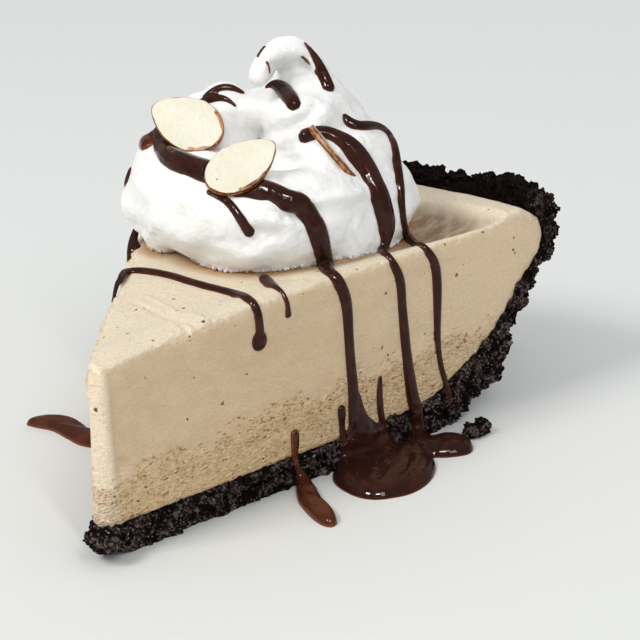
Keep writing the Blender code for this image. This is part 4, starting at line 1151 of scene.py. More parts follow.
# %% Where each stream of sauce goes
STREAMS = {  # right, high, radius
    "broad": (
        (-23.2, 19.6, 1.2), (-22.8, 17.4, 1.6), (-21.7, 15.3, 1.9), (-19.2, 13.3, 2.15),
        (-15.8, 11.9, 2.35), (-12.6, 10.6, 2.3), (-9.6, 9.0, 2.1), (-6.8, 7.9, 1.95), (-3.6, 7.3, 1.9),
        (-0.2, 5.9, 1.8), (2.8, 4.0, 1.7), (4.9, 1.3, 1.75), (6.1, -1.5, 1.8), (6.8, -4.8, 1.65),
        (7.3, -7.6, 1.4), (7.6, -9.7, 1.2), (8.7, -10.9, 1.25), (10.5, -13.6, 1.15), (11.2, -17.2, 1.05),
        (11.3, -22.2, 0.95), (11.5, -28.3, 0.95), (11.8, -33.2, 1.05), (11.9, -36.8, 1.15),
        (11.8, -40.5, 1.2), (11.7, -43.3, 1.3), (12.1, -46.6, 1.8), (13.2, -49.9, 2.5),
    ),
    "broad_foot": ((12.5, -38.1, 1.0), (13.2, -42.9, 1.8), (14.3, -45.6, 2.5), (15.2, -48.9, 3.0)),
    "broad_web": (
        (12.4, -35.8, 0.8), (12.9, -39.0, 1.0), (13.8, -41.7, 1.2), (15.2, -43.7, 1.5),
        (16.7, -45.2, 1.7), (17.7, -47.0, 2.2), (17.6, -50.1, 2.5),
    ),
    "right": (
        (4.0, 17.3, 1.3), (6.5, 18.0, 1.4), (9.4, 17.8, 1.6), (12.4, 15.6, 1.9), (14.7, 12.8, 2.1),
        (16.6, 9.3, 2.15), (18.2, 4.9, 2.1), (19.2, 0.8, 2.05), (19.3, -2.5, 1.9), (18.9, -4.8, 1.2),
        (18.3, -6.0, 0.8), (19.3, -7.5, 0.75), (20.8, -9.6, 0.85), (21.7, -12.3, 0.95),
        (21.8, -16.3, 0.9), (22.1, -21.3, 0.95), (22.2, -23.1, 1.1), (22.3, -24.9, 0.95),
        (22.6, -28.8, 1.05), (23.1, -33.0, 1.2), (23.6, -37.3, 1.4), (24.2, -40.6, 1.4),
        (24.6, -43.4, 1.5), (24.9, -45.3, 1.8), (24.4, -47.7, 2.3), (22.8, -50.3, 2.5),
    ),
    "far_right": (
        (11.9, 21.2, 0.5), (12.6, 19.6, 1.4), (14.3, 18.7, 1.4), (16.5, 19.1, 0.95), (18.5, 18.6, 0.9),
        (20.1, 17.0, 0.95), (21.0, 14.4, 1.1), (21.5, 10.9, 1.1), (22.0, 6.4, 0.9), (22.2, 1.2, 0.75),
        (22.7, -2.1, 0.85), (23.6, -3.9, 1.0), (25.0, -5.1, 0.75), (26.8, -6.2, 0.7), (28.4, -8.7, 0.9),
        (28.7, -12.5, 1.0), (28.7, -17.5, 0.85), (28.6, -23.8, 0.65), (28.9, -28.4, 0.55),
        (29.6, -32.1, 0.55), (30.4, -35.3, 0.6), (31.0, -38.4, 0.55),
    ),
    "finger_left": (
        (9.4, -38.5, 0.8), (9.4, -41.0, 0.75), (9.4, -44.0, 0.75), (9.5, -47.0, 0.85), (9.8, -49.5, 1.1),
        (10.4, -51.5, 1.6),
    ),
    "finger_right": (
        (17.3, -32.2, 0.4), (17.0, -34.6, 0.6), (17.0, -36.8, 0.65), (17.1, -39.6, 0.65),
        (17.3, -41.8, 0.7), (18.0, -44.3, 0.9), (18.9, -46.3, 1.3),
    ),
    "short": (
        (-14.4, 7.2, 0.5), (-12.3, 6.3, 0.65), (-10.4, 4.9, 0.65), (-9.6, 3.1, 0.7), (-8.3, 1.2, 0.75),
        (-7.5, -0.4, 0.9), (-6.9, -1.4, 0.9),
    ),
    "bulb": (
        (-23.8, 20.9, 1.0), (-24.9, 20.1, 1.3), (-25.5, 18.9, 1.6), (-25.7, 17.7, 1.8),
        (-25.2, 16.9, 1.5),
    ),
    "comma": (
        (-2.6, 27.2, 0.35), (-1.2, 28.1, 0.9), (0.4, 27.0, 1.3), (1.8, 25.1, 1.4), (2.6, 23.4, 1.15),
    ),
    "cap": ((4.9, 35.4, 0.3), (6.3, 33.4, 0.6), (7.5, 31.1, 0.95), (8.5, 28.7, 1.2), (9.2, 26.6, 1.15)),
    "shoulder": (
        (-14.3, 25.6, 0.5), (-12.3, 27.1, 0.75), (-10.1, 27.6, 0.8), (-8.0, 27.0, 0.7),
        (-6.9, 26.3, 0.35),
    ),
    "shoulder_low": (
        (-15.3, 24.5, 0.8), (-12.9, 25.5, 0.8), (-10.8, 25.6, 0.65), (-9.3, 24.9, 0.4),
        (-8.5, 23.8, 0.25),
    ),
    "sliver": ((-3.9, 33.2, 0.3), (-3.2, 34.2, 0.45), (-2.5, 35.0, 0.3)),
    "fold_left": ((-2.3, 32.1, 0.3), (-2.15, 31.1, 0.45), (-1.9, 30.0, 0.3)),
    "fold_right": ((4.3, 32.9, 0.25), (5.1, 32.2, 0.4), (5.7, 31.4, 0.25)),
    "small": (
        (-4.6, -10.6, 0.95), (-4.1, -11.5, 1.2), (-3.3, -12.3, 0.95), (-2.4, -12.9, 0.5),
        (-1.1, -14.1, 0.5), (-0.4, -15.9, 0.45), (-0.2, -17.6, 0.45), (-0.3, -18.6, 0.6),
    ),
    "front": (
        (0.0, -43.4, 0.8), (0.1, -44.9, 0.95), (0.1, -46.0, 0.85), (-0.4, -47.7, 0.6), (-0.2, -49.4, 0.6),
        (0.2, -51.1, 0.65), (0.9, -52.8, 0.9), (1.5, -55.1, 1.4), (2.2, -57.3, 1.8),
    ),
}
LONG_STREAM = (
    (-30.4, -8.3, 0.7), (-28.8, -8.35, 0.85), (-27.0, -8.6, 0.95), (-23.0, -9.5, 0.85),
    (-17.6, -11.5, 0.85), (-12.2, -13.2, 0.85), (-8.4, -14.6, 0.85), (-6.6, -16.6, 0.8),
    (-6.1, -18.8, 0.75), (-5.9, -21.0, 0.75), (-6.0, -22.4, 0.85),
)
LONG_OVER_EDGE = (  # along the far cut, high, radius
    (34.6, 34.6, 0.3), (36.2, 35.2, 0.3), (37.8, 35.9, 0.34), (39.4, 36.9, 0.42), (40.4, 38.0, 0.6),
)
FAR_SIDE_ON_CREAM = (  # right, near, high, radius
    (-27.4, 0.5, 12.0, 0.7), (-28.4, 0.5, 9.5, 0.9), (-28.8, -2.0, 6.0, 0.7), (-28.4, -5.0, 2.6, 0.4),
)
FAR_SIDE_ON_CUT = (  # along the far cut, high, radius
    (60.4, 38.0, 0.6), (59.4, 37.0, 1.2), (58.2, 35.0, 1.35), (56.4, 31.0, 0.9), (54.4, 24.0, 0.9),
    (53.0, 14.0, 1.0), (52.0, 6.0, 1.2), (51.0, 1.4, 1.5),
)

# %% [markdown]
# A stream on a slope lies half sunk in its carrier, so it shows as a low, wide bead, and the widest ones
# are the flattest. Where the line of sight jumps from the cream to the ice cream the stream would have a
# step, so its middle line is eased like a slack thread, and then kept close to what lies under it.

# %% Laying the streams on their carriers
STREAM_STEP = 0.8
FINE_STEP = 0.4
STREAM_WIDTH = 1.22
SINK_OF_THIN, SINK_OF_WIDE = 0.15, 0.42  # the share of its radius that lies under the surface
THIN_AND_WIDE = (0.7, 1.6)
BRIDGE = 0.9  # how far a slack stream may hang over a gap
JUST_OUT = 0.6  # of the far cut
NEAR_FLOOR = 1.5
DROP = (-6.1, -23.6, 1.9)


def spaced(rows, step):
    """The same chain with its points a step apart."""
    rows = np.array(rows, float)
    travelled = np.r_[0.0, np.cumsum(np.linalg.norm(np.diff(rows[:, :3], axis=0), axis=1))]
    count = max(3, int(round(travelled[-1] / step)) + 1)
    marks = np.linspace(0.0, travelled[-1], count)
    return np.stack([np.interp(marks, travelled, column) for column in rows.T], axis=1)


def slacken(rows, passes):
    for _ in range(passes):
        rows[1:-1] = (rows[:-2] + 2 * rows[1:-1] + rows[2:]) / 4


def settled(tree, rows, easings=5):
    """Ease a chain, then sink it into its carrier, the widest parts the most."""
    rows = spaced(rows, STREAM_STEP)
    slacken(rows, easings)
    for row in rows:
        place = Vector(row[:3])
        under, normal, _, away = tree.find_nearest(place)
        if away is None or (place.z < NEAR_FLOOR and place.z < away):
            continue
        lift = min(max((place - under).dot(normal), 0.0), BRIDGE)
        sink = np.interp(row[3], THIN_AND_WIDE, (SINK_OF_THIN, SINK_OF_WIDE))
        row[:3] = under + normal * (lift - sink * row[3] * STREAM_WIDTH)
    slacken(rows, 2)
    rows[:, 3] *= STREAM_WIDTH
    return rows


def as_seen(tree, stations):
    """The stations of a stream as places on the slice or the floor, with its thickness."""
    return [(*seen_on(tree, a, h)[0], radius) for a, h, radius in smooth_course(stations, FINE_STEP)]


def on_far_cut(stations):
    return [(*cut_point(distance, height, JUST_OUT, 1), radius) for distance, height, radius in stations]


def hanging_drop(tree, a, h, radius):
    """The round end of a stream that stopped part way down."""
    place, normal = seen_on(tree, a, h)
    return lobe("drop", place - normal * (0.4 * radius), (radius, radius, radius * 1.15))


def long_stream(tree):
    """The stream across the point's top, which begins on the rounding of the far edge, out of sight."""
    return settled(tree, on_far_cut(LONG_OVER_EDGE) + as_seen(tree, LONG_STREAM))


def far_side_stream(tree):
    """The stream down the hidden side, from the cream to the foot of the far cut."""
    starts = [(*tree.find_nearest(cream_point(a, b, h))[0], radius) for a, b, h, radius in FAR_SIDE_ON_CREAM]
    return settled(tree, smooth_course(starts + on_far_cut(FAR_SIDE_ON_CUT), 0.8), 3)


# %% [markdown]
# A puddle is flat on top with a swollen rim, because the sauce is thick. It is built from its outline:
# rings drawn in towards the middle rise along a quarter circle, and then the puddle sags a little. The
# sauce's own surface tension does the rest, so the streams and the puddle are melted together and relaxed.

# %% Puddles, and the sauce as a whole
SAUCE_VOXEL = 0.27
POOL_EDGE = (
    (50.5, -20.6), (47.0, -21.0), (43.7, -23.1), (41.2, -26.6), (39.9, -30.2), (40.2, -33.2), (42.0, -35.7),
    (44.3, -37.8), (47.5, -39.0), (51.7, -39.2), (55.6, -38.4), (59.2, -36.8), (61.8, -34.0), (63.0, -30.5),
    (62.4, -27.0), (57.0, -23.4),
)
LEAF_EDGE = (
    (60.8, -32.4), (61.2, -36.4), (62.8, -39.2), (65.0, -41.2), (68.2, -40.6), (70.7, -38.4), (71.0, -35.4),
    (69.8, -33.0), (66.4, -31.2), (63.0, -30.4),
)
TONGUE_EDGE = (
    (41.0, -17.1), (38.0, -18.3), (34.3, -20.6), (31.4, -23.4), (28.7, -26.6), (27.2, -29.3), (27.3, -31.0),
    (29.2, -31.1), (31.9, -29.2), (35.1, -26.1), (38.8, -22.4), (42.1, -18.8), (43.4, -16.8),
)
LEFT_EDGE = (
    (50.4, 20.0), (46.2, 24.0), (46.0, 28.6), (47.8, 33.0), (49.8, 38.0), (48.8, 42.6), (45.6, 45.0),
    (44.8, 42.4), (44.6, 38.2), (42.4, 33.4), (40.6, 28.8), (41.2, 23.6), (44.0, 19.8), (46.0, 17.6),
)


def puddle(name, edge, height, rim, rings=14):
    """A puddle from its outline on the floor, flat on top, with a rim as round as a drop's."""
    outline = smooth_course([*edge, edge[0]], 0.7)[:-1]
    count = len(outline)
    middle = outline.mean(axis=0)
    points, faces = [], []
    for share in np.linspace(1.0, 0.0, rings) ** 0.8:
        inside = (1.0 - share) * np.linalg.norm(outline - middle, axis=1)
        round_up = np.sqrt(1.0 - (1.0 - np.clip(inside / rim, 0.0, 1.0)) ** 2)
        level = height * round_up * (1.0 - 0.15 * ramp(inside, rim, 3 * rim))
        points += np.column_stack([middle + share * (outline - middle), level]).tolist()
    points += np.column_stack([outline, np.full(count, -1.0)]).tolist()
    for ring in [*range(rings - 1), -1]:
        first, second = (rings * count, 0) if ring < 0 else (ring * count, (ring + 1) * count)
        for i in range(count):
            j = (i + 1) % count
            faces.append((first + i, first + j, second + j, second + i))
    faces.append(tuple(range(rings * count, (rings + 1) * count)))
    faces.append(tuple(range((rings - 1) * count, rings * count)))
    return piece_from(name, points, (), faces)


def make_sauce():
    tree = tree_of(cream, ice_cream, crust)
    laid = {name: settled(tree, as_seen(tree, stations)) for name, stations in STREAMS.items()}

    def runs(*names):
        return poured(names[0], [laid[name] for name in names])

    drips = poured("drips", [long_stream(tree), laid["small"]])
    parts = {
        "sauce_streams_and_pool": [
            runs("broad", "broad_foot", "broad_web", "right", "far_right", "finger_left", "finger_right"),
            puddle("pool", POOL_EDGE, height=2.4, rim=5.0), puddle("leaf", LEAF_EDGE, height=2.3, rim=3.6)],
        "sauce_bulb": [runs("bulb")],
        "sauce_dabs_on_cream": [runs("short", "comma", "cap", "shoulder", "shoulder_low", "sliver")],
        "sauce_in_fold": [runs("fold_left", "fold_right")],
        "sauce_drips_over_top": [drips, hanging_drop(tree, *DROP)],
        "sauce_front_tongue": [runs("front"), puddle("tongue", TONGUE_EDGE, height=1.7, rim=2.0)],
        "sauce_far_side": [poured("climb", [far_side_stream(tree)])],
        "sauce_left_tongue": [puddle("tongue", LEFT_EDGE, height=1.9, rim=3.0)],
    }
    return {name: melted_together(name, made, SAUCE_VOXEL) for name, made in parts.items()}


sauce = make_sauce()

# %% [markdown]
# Low down the sauce has run together, so it is eased most near the floor, and where the streams join the
# puddle it spans the corner like a web. Last, easing forwards and backwards in turn takes the last ripples
# of the voxels away and leaves the streams as thick as they were.

# %% Surface tension
POOL_EASING, RUN_EASING, WEB_EASING = 36, 16, 60
EASED_BELOW = (2.5, 8.0)
WEB_MIDDLE = (50.2, -22.6, 3.6)
WEB_REACH = 5.5
BACKWARDS = -1.03

for name, obj in sauce.items():
    easing = POOL_EASING if name == "sauce_streams_and_pool" else RUN_EASING
    relax(obj, easing, 1.0 - ramp(points_of(obj)[:, 2], *EASED_BELOW))
    web = np.linalg.norm(points_of(obj) - WEB_MIDDLE, axis=1) / WEB_REACH
    relax(obj, WEB_EASING, np.exp(-web ** 4))
    for _ in range(4):
        relax(obj, 1)
        relax(obj, 1, BACKWARDS)
    if min(points_of(obj)[:, 2]) < 0.0:
        trim_below(obj, 0.0)
    print(obj.name, len(obj.data.polygons), "faces")

# %% [markdown]
# ## The almond slices
#
# Each slice is a thin pointed oval, cut lengthwise, with the brown skin left round its edge. It is built as
# rings from the middle of one face, over the rounded edge, to the middle of the other, so its edge can be
# marked for the skin. They were put on last. So the cream and the sauce are both pressed in behind each
# slice, the cream a little deeper, which looks softer than a hole cut to its outline.

# %% Almond slices and their dents
ALMOND_THICKNESS = 1.3
ALMOND_SIDES = 96
ALMONDS = {  # right, high and near; length and width; turn and tilt in degrees
    "almond_slice_left": (-17.8, 20.8, 4.3, 14.8, 9.7, 149.0, 48.0),
    "almond_slice_front": (-7.9, 12.1, 20.5, 14.9, 8.7, 36.0, 42.0),
}
EDGE_ALMOND = ((5.6, 19.2), (13.2, 9.0), 12.8, 5.6)  # its two ends as seen, length and width
EDGE_TURN = math.radians(4.0)
ALMOND_BEND = {"almond_slice_left": 0.35, "almond_slice_front": 0.35, "almond_slice_edge": 0.08}
ALMOND_RINGS = (  # share of the outline, level from 1 on one face to -1 on the other, how brown
    (0.15, 1.0, 0), (0.35, 1.0, 0), (0.55, 1.0, 0), (0.72, 1.0, 0), (0.84, 1.0, 0), (0.90, 1.0, 0),
    (0.95, 0.98, 0.1), (0.985, 0.9, 0.6), (1.0, 0.6, 1), (1.004, 0.2, 1), (1.004, -0.2, 1),
    (1.0, -0.6, 1), (0.985, -0.9, 0.6), (0.95, -0.98, 0.1), (0.86, -1.0, 0), (0.6, -1.0, 0),
    (0.3, -1.0, 0),
)
LOW_SIDE = (0.75, 0.0, -0.66)
LOW_SIDE_SKIN = 0.75
LOW_SIDE_BAND = (0.88, 0.97)
CREAM_DENT = 0.85
SAUCE_DENT = 0.45
DENT_EDGE = (1.02, 1.22)
PRESSED_IN_FRONT = 8.0


def almond_outline(angle, length, width):
    """A pointed oval, its point at +X."""
    taper = 1.0 - 0.22 * np.cos(angle) - 0.10 * np.cos(2 * angle)
    return 0.5 * length * np.cos(angle), 0.5 * width * np.sin(angle) * taper


def almond_faces():
    """Triangles round the middle of each face, and four-sided faces between the rings."""
    sides, rings = ALMOND_SIDES, len(ALMOND_RINGS)
    faces = [(0, 1 + i, 1 + (i + 1) % sides) for i in range(sides)]
    for start in range(1, 1 + (rings - 1) * sides, sides):
        for i in range(sides):
            j = (i + 1) % sides
            faces.append((start + i, start + sides + i, start + sides + j, start + j))
    start, last = 1 + (rings - 1) * sides, 1 + rings * sides
    return faces + [(start + i, last, start + (i + 1) % sides) for i in range(sides)]


def make_almond(name, length, width, place):
    x, y = almond_outline(np.linspace(0.0, 2 * math.pi, ALMOND_SIDES, endpoint=False), length, width)
    half = ALMOND_THICKNESS / 2
    points, skin = [(0.0, 0.0, half)], [0.0]
    for share, level, brown in ALMOND_RINGS:
        points += [(px * share, py * share, half * level) for px, py in zip(x, y)]
        skin += [brown] * ALMOND_SIDES
    points = np.array([*points, (0.0, 0.0, -half)])
    skin.append(0.0)
    sheet = points * (1.0, 1.0, 0.0)
    seed = 50 + int(length * 10) % 7
    bend = ALMOND_BEND[name] * waves_at(sheet, 7.0, seed)
    points[:, 2] += bend + 0.08 * waves_at(sheet, 2.0, seed + 1)
    mesh = bpy.data.meshes.new(name)
    mesh.from_pydata(points.tolist(), [], almond_faces())
    mesh.transform(placed(place))
    obj = new_piece(name + "_in_cream", mesh)
    made, across = points_of(obj), place.col[2].xyz
    reach = np.linalg.norm(sheet / (length / 2, width / 2, 1.0), axis=1)
    low_side = (made - place.translation) @ np.array(cream_point(*LOW_SIDE) - cream_point(0, 0, 0))
    band = LOW_SIDE_SKIN * ramp(reach, *LOW_SIDE_BAND) * ramp(low_side / width, 0.0, 0.4)
    store(obj, "skin", np.maximum(skin, band))
    store(obj, "rim", np.abs(made @ np.array(across) - place.translation.dot(across)))
    return obj


def frame_at(place, long_axis, face_axis):
    """A placing matrix in millimetres with X along long_axis and Z near face_axis."""
    x = long_axis.normalized()
    y = face_axis.cross(x).normalized()
    return Matrix.Translation(place) @ Matrix((x, y, x.cross(y))).transposed().to_4x4()


def almond_places(tree):
    right = cream_point(1, 0, 0) - cream_point(0, 0, 0)
    near = cream_point(0, 1, 0) - cream_point(0, 0, 0)
    eye = cream_point(*EYE)
    for name, (a, h, b, length, width, turn, tilt) in ALMONDS.items():
        place = eye.lerp(cream_point(a, 0.0, h), 1.0 - b / EYE[1])
        turn, tilt = math.radians(turn), math.radians(tilt)
        rise = UP * math.sin(tilt) - near * math.cos(tilt)
        along = right * math.cos(turn) + rise * math.sin(turn)
        yield name, length, width, frame_at(place, along, UP * math.cos(tilt) + near * math.sin(tilt))
    start, end, length, width = EDGE_ALMOND
    first, last = seen_on(tree, *start)[0], seen_on(tree, *end)[0]
    sight = (eye - (first + last) / 2).normalized()
    middle = (first + last) / 2 - sight * (width * 0.12)
    face = (last - first).cross(sight)
    face.rotate(Quaternion((last - first).normalized(), EDGE_TURN))
    yield "almond_slice_edge", length, width, frame_at(middle, last - first, face)


def press_in(obj, length, width, place, depth):
    """Push what is in front of a slice back behind it, and let the rim of the dent fade out."""
    points = points_of(obj)
    into = np.array(place.inverted())
    local = points @ into[:3, :3].T + into[:3, 3]
    angle = np.arctan2(local[:, 1] / width, local[:, 0] / length)
    edge = np.linalg.norm(np.stack(almond_outline(angle, length, width)), axis=0)
    reach = np.linalg.norm(local[:, :2], axis=1) / edge
    pressed = (local[:, 2] > -depth) & (local[:, 2] < PRESSED_IN_FRONT)
    share = np.where(pressed, 1.0 - ramp(reach, *DENT_EDGE), 0.0)
    local[:, 2] += share * (-depth - local[:, 2])
    out = np.array(place)
    move_points(obj, local @ out[:3, :3].T + out[:3, 3])
    relax(obj, 2, share * (1.0 - share) * 4.0)


def make_almonds():
    made = {}
    for name, length, width, place in list(almond_places(tree_of(cream))):
        if name != "almond_slice_edge":
            press_in(cream, length, width, place, CREAM_DENT)
            for piece in ("sauce_streams_and_pool", "sauce_dabs_on_cream"):
                press_in(sauce[piece], length, width, place, SAUCE_DENT)
        made[name] = make_almond(name, length, width, place)
    return made


almonds = make_almonds()

# %% [markdown]
# Where the sauce is thin, light gets through it and it turns from near black to red brown. How thin it is
# at each point is measured to whatever is under it, and kept for the material.

# %% How thin the sauce is
THIN_TO_THICK = (0.15, 0.9)


def measure_sauce():
    carriers = tree_of(ice_cream, crust, cream)
    for obj in sauce.values():
        points = points_of(obj)
        away = np.array([carriers.find_nearest(Vector(point))[3] for point in points])
        away = np.minimum(away, points[:, 2])
        store(obj, "thin", 1.0 - ramp(away, *THIN_TO_THICK))


measure_sauce()

# %% [markdown]
# ## Crumbs that came loose
#
# A lump of crust has broken off by the puddle: three knobs that still hold together, with the crust's own
# relief. The same grains lie on it as on the crust, which has finer ones on its cuts, where the knife broke
# the crumbs.

# %% The loose lump, and grains over all the crust
LUMP_KNOBS = (  # place, and the three radii
    (72.1, -38.5, 1.4, 1.6, 1.5, 1.5), (74.7, -39.6, 1.5, 1.6, 1.5, 1.75),
    (73.4, -39.3, 0.9, 1.6, 1.2, 0.9),
)
LUMP_VOXEL = 0.32
LUMP_IS_BROKEN = 0.8  # as much as the cuts of the crust are, at 1


def make_loose_lump():
    obj = melted_together("loose_lump", knobs_of(LUMP_KNOBS), LUMP_VOXEL)
    points, normals = points_of(obj), normals_of(obj)
    lumps = 0.7 * (crumbs_at(points, 1.6, 8) - 0.6) + 0.3 * (crumbs_at(points, 0.7, 9) - 0.6)
    move_points(obj, points + normals * lumps[:, None])
    trim_below(obj, 0.0)
    store(obj, "shows", ramp(points_of(obj)[:, 2], 0.1, 0.4))
    return obj


loose_lump = make_loose_lump()

outside, cuts, lump = shown(crust), shown(crust) * knifed(crust), shown(loose_lump)
crust_grains = scatter("crust_grains", crust, outside, per_mm2=0.7, sizes=(0.22, 0.6), ragged=0.5, seed=3)
cut_grains = scatter("cut_grains", crust, cuts, per_mm2=3.0, sizes=(0.18, 0.42), ragged=0.35, seed=6)
crust_bits = scatter("crust_bits", crust, outside, per_mm2=0.12, sizes=(0.5, 0.95), ragged=0.9, seed=4)
lump_grains = scatter("lump_grains", loose_lump, lump, per_mm2=3.0, sizes=(0.18, 0.45), ragged=0.4, seed=5)
for obj in (crust, crust_grains, cut_grains, crust_bits):
    store(obj, "knifed", knifed(obj))
for obj in (loose_lump, lump_grains):
    store(obj, "knifed", np.full(len(obj.data.vertices), LUMP_IS_BROKEN))

# %% [markdown]
# ## Materials
#
# A finish is a chain of thin glazes: a ground colour, and then one tint after another, each with a share
# that says where it goes. A few small functions say this in words, so that each material below reads like a
# recipe.

# %% Words for the recipes
def socket_math(tree, operation, a, b=0.0):
    return put(tree, "ShaderNodeMath", {0: a, 1: b}, operation=operation).outputs[0]


def times(tree, a, b):
    return socket_math(tree, "MULTIPLY", a, b)


def blend(tree, share, first, second):
    """Mix two colours; share, first and second are sockets or values."""
    node = tree.nodes.new("ShaderNodeMix")
    node.data_type = "RGBA"
    for index, value in ((0, share), (6, first), (7, second)):
        if isinstance(value, bpy.types.NodeSocket):
            tree.links.new(value, node.inputs[index])
        else:
            node.inputs[index].default_value = value if index == 0 else (*value, 1.0)
    return node.outputs[2]


def glaze(tree, colour, share, tint, strength=1.0):
    """Lay a tint over a colour where share says, and no stronger than strength."""
    if strength != 1.0:
        share = times(tree, share, strength)
    return blend(tree, share, colour, tint)


def graded(tree, value, low, high, to_low=0.0, to_high=1.0):
    """Map low..high to to_low..to_high, softly and without overshoot."""
    return put(tree, "ShaderNodeMapRange", {
        "Value": value, "From Min": low, "From Max": high, "To Min": to_low, "To Max": to_high},
        interpolation_type="SMOOTHSTEP").outputs["Result"]


def vector_math(tree, operation, vector, other, second=1):
    return put(tree, "ShaderNodeVectorMath", {0: vector, second: other}, operation=operation).outputs[0]


def scaled(tree, vector, scale):
    return vector_math(tree, "MULTIPLY", vector, scale)


def cloud(tree, vector, per_mm, detail):
    """Smooth noise, 0 to 1."""
    made = put(tree, "ShaderNodeTexNoise", {"Vector": vector, "Scale": per_mm, "Detail": detail})
    return made.outputs["Fac"]


def kept(tree, name):
    """The number that store kept at each point."""
    return put(tree, "ShaderNodeAttribute", attribute_name=name).outputs["Fac"]


# %% [markdown]
# Four small shader groups cover every finish on the slice. Mottling gives soft patches, specks gives sparse
# dots, pores gives flat pits with a height for the bump, and millimetres turns object coordinates into
# millimetres from the middle of the pie. Each material places them with its own values.

# %% Shader groups
def make_mottling():
    tree, given = new_tree("mottling", "ShaderNodeTree", (
        ("Vector", "Vector", None), ("Per mm", "Float", 0.3)), (("Patches", "Float"),))
    noisy = cloud(tree, given["Vector"], given["Per mm"], 2.0)
    put(tree, "NodeGroupOutput", {"Patches": graded(tree, noisy, 0.32, 0.68)})
    return tree


def make_specks():
    tree, given = new_tree("specks", "ShaderNodeTree", (
        ("Vector", "Vector", None), ("Per mm", "Float", 0.3),
        ("Share", "Float", 0.3), ("Size", "Float", 0.1)), (("Dots", "Float"), ("Tint", "Float")))
    jitter = put(tree, "ShaderNodeTexNoise", {"Vector": given["Vector"], "Scale": 2.2, "Detail": 1.0})
    centred = vector_math(tree, "SUBTRACT", jitter.outputs["Color"], (0.5, 0.5, 0.5))
    shift = vector_math(tree, "SCALE", centred, 0.7, "Scale")
    place = vector_math(tree, "ADD", given["Vector"], shift)
    cells = put(tree, "ShaderNodeTexVoronoi", {"Vector": place, "Scale": given["Per mm"]})
    parts = put(tree, "ShaderNodeSeparateColor", {"Color": cells.outputs["Color"]}).outputs
    chosen = socket_math(tree, "LESS_THAN", parts[0], given["Share"])
    reach = times(tree, given["Size"], socket_math(tree, "ADD", parts[1], 0.4))
    inside = socket_math(tree, "SUBTRACT", reach, cells.outputs["Distance"])
    dots = times(tree, chosen, graded(tree, inside, 0.0, 0.02))
    put(tree, "NodeGroupOutput", {"Dots": dots, "Tint": parts[2]})
    return tree


def make_pores():
    tree, given = new_tree("pores", "ShaderNodeTree", (
        ("Vector", "Vector", None), ("Per mm", "Float", 1.0), ("Openness", "Float", 0.5)),
        (("Mask", "Float"), ("Height", "Float")))
    cells = cloud(tree, given["Vector"], given["Per mm"], 1.5)
    limit = socket_math(tree, "SUBTRACT", 0.78, times(tree, given["Openness"], 0.3))
    mask = graded(tree, socket_math(tree, "SUBTRACT", cells, limit), -0.02, 0.05)
    put(tree, "NodeGroupOutput", {"Mask": mask, "Height": socket_math(tree, "SUBTRACT", 1.0, mask)})
    return tree


def make_millimetres():
    tree, _ = new_tree("millimetres", "ShaderNodeTree", (), (("Place", "Vector"), ("Height", "Float")))
    coords = put(tree, "ShaderNodeTexCoord")
    place = put(tree, "ShaderNodeMapping", {
        "Vector": coords.outputs["Object"], "Location": (SLICE_LENGTH / 2, 0.0, 0.0),
        "Scale": (1.0 / MM, 1.0 / MM, 1.0 / MM)})
    height = put(tree, "ShaderNodeSeparateXYZ", {0: place.outputs[0]})
    put(tree, "NodeGroupOutput", {"Place": place.outputs[0], "Height": height.outputs["Z"]})
    return tree


mottling, specks, pores, millimetres = make_mottling(), make_specks(), make_pores(), make_millimetres()


def group(tree, inner, inputs=None):
    return put(tree, "ShaderNodeGroup", inputs, node_tree=inner).outputs


def patchy(tree, vector, per_mm):
    return group(tree, mottling, {"Vector": vector, "Per mm": per_mm})["Patches"]


def specked(tree, vector, per_mm, share, size):
    """Sparse dots, and a tint that differs from dot to dot."""
    made = group(tree, specks, {"Vector": vector, "Per mm": per_mm, "Share": share, "Size": size})
    return made["Dots"], made["Tint"]


def new_finish(name, **settings):
    """A material with its shader's constants set, its tree, its shader, and the place in millimetres."""
    material = bpy.data.materials.new(name)
    material.use_nodes = True
    tree = material.node_tree
    shader = tree.nodes["Principled BSDF"]
    for socket, value in settings.items():
        shader.inputs[socket.replace("_", " ")].default_value = value
    return material, tree, shader, group(tree, millimetres)


def wire(tree, shader, colour, roughness, heights):
    """Connect a colour, a roughness, and bumps given as (height socket, depth in millimetres)."""
    tree.links.new(colour, shader.inputs["Base Color"])
    tree.links.new(roughness, shader.inputs["Roughness"])
    normal = None
    for height, depth in heights:
        bump = put(tree, "ShaderNodeBump", {"Height": height, "Distance": depth * MM, "Strength": 1.0})
        if normal is not None:
            tree.links.new(normal, bump.inputs["Normal"])
        normal = bump.outputs["Normal"]
    tree.links.new(normal, shader.inputs["Normal"])
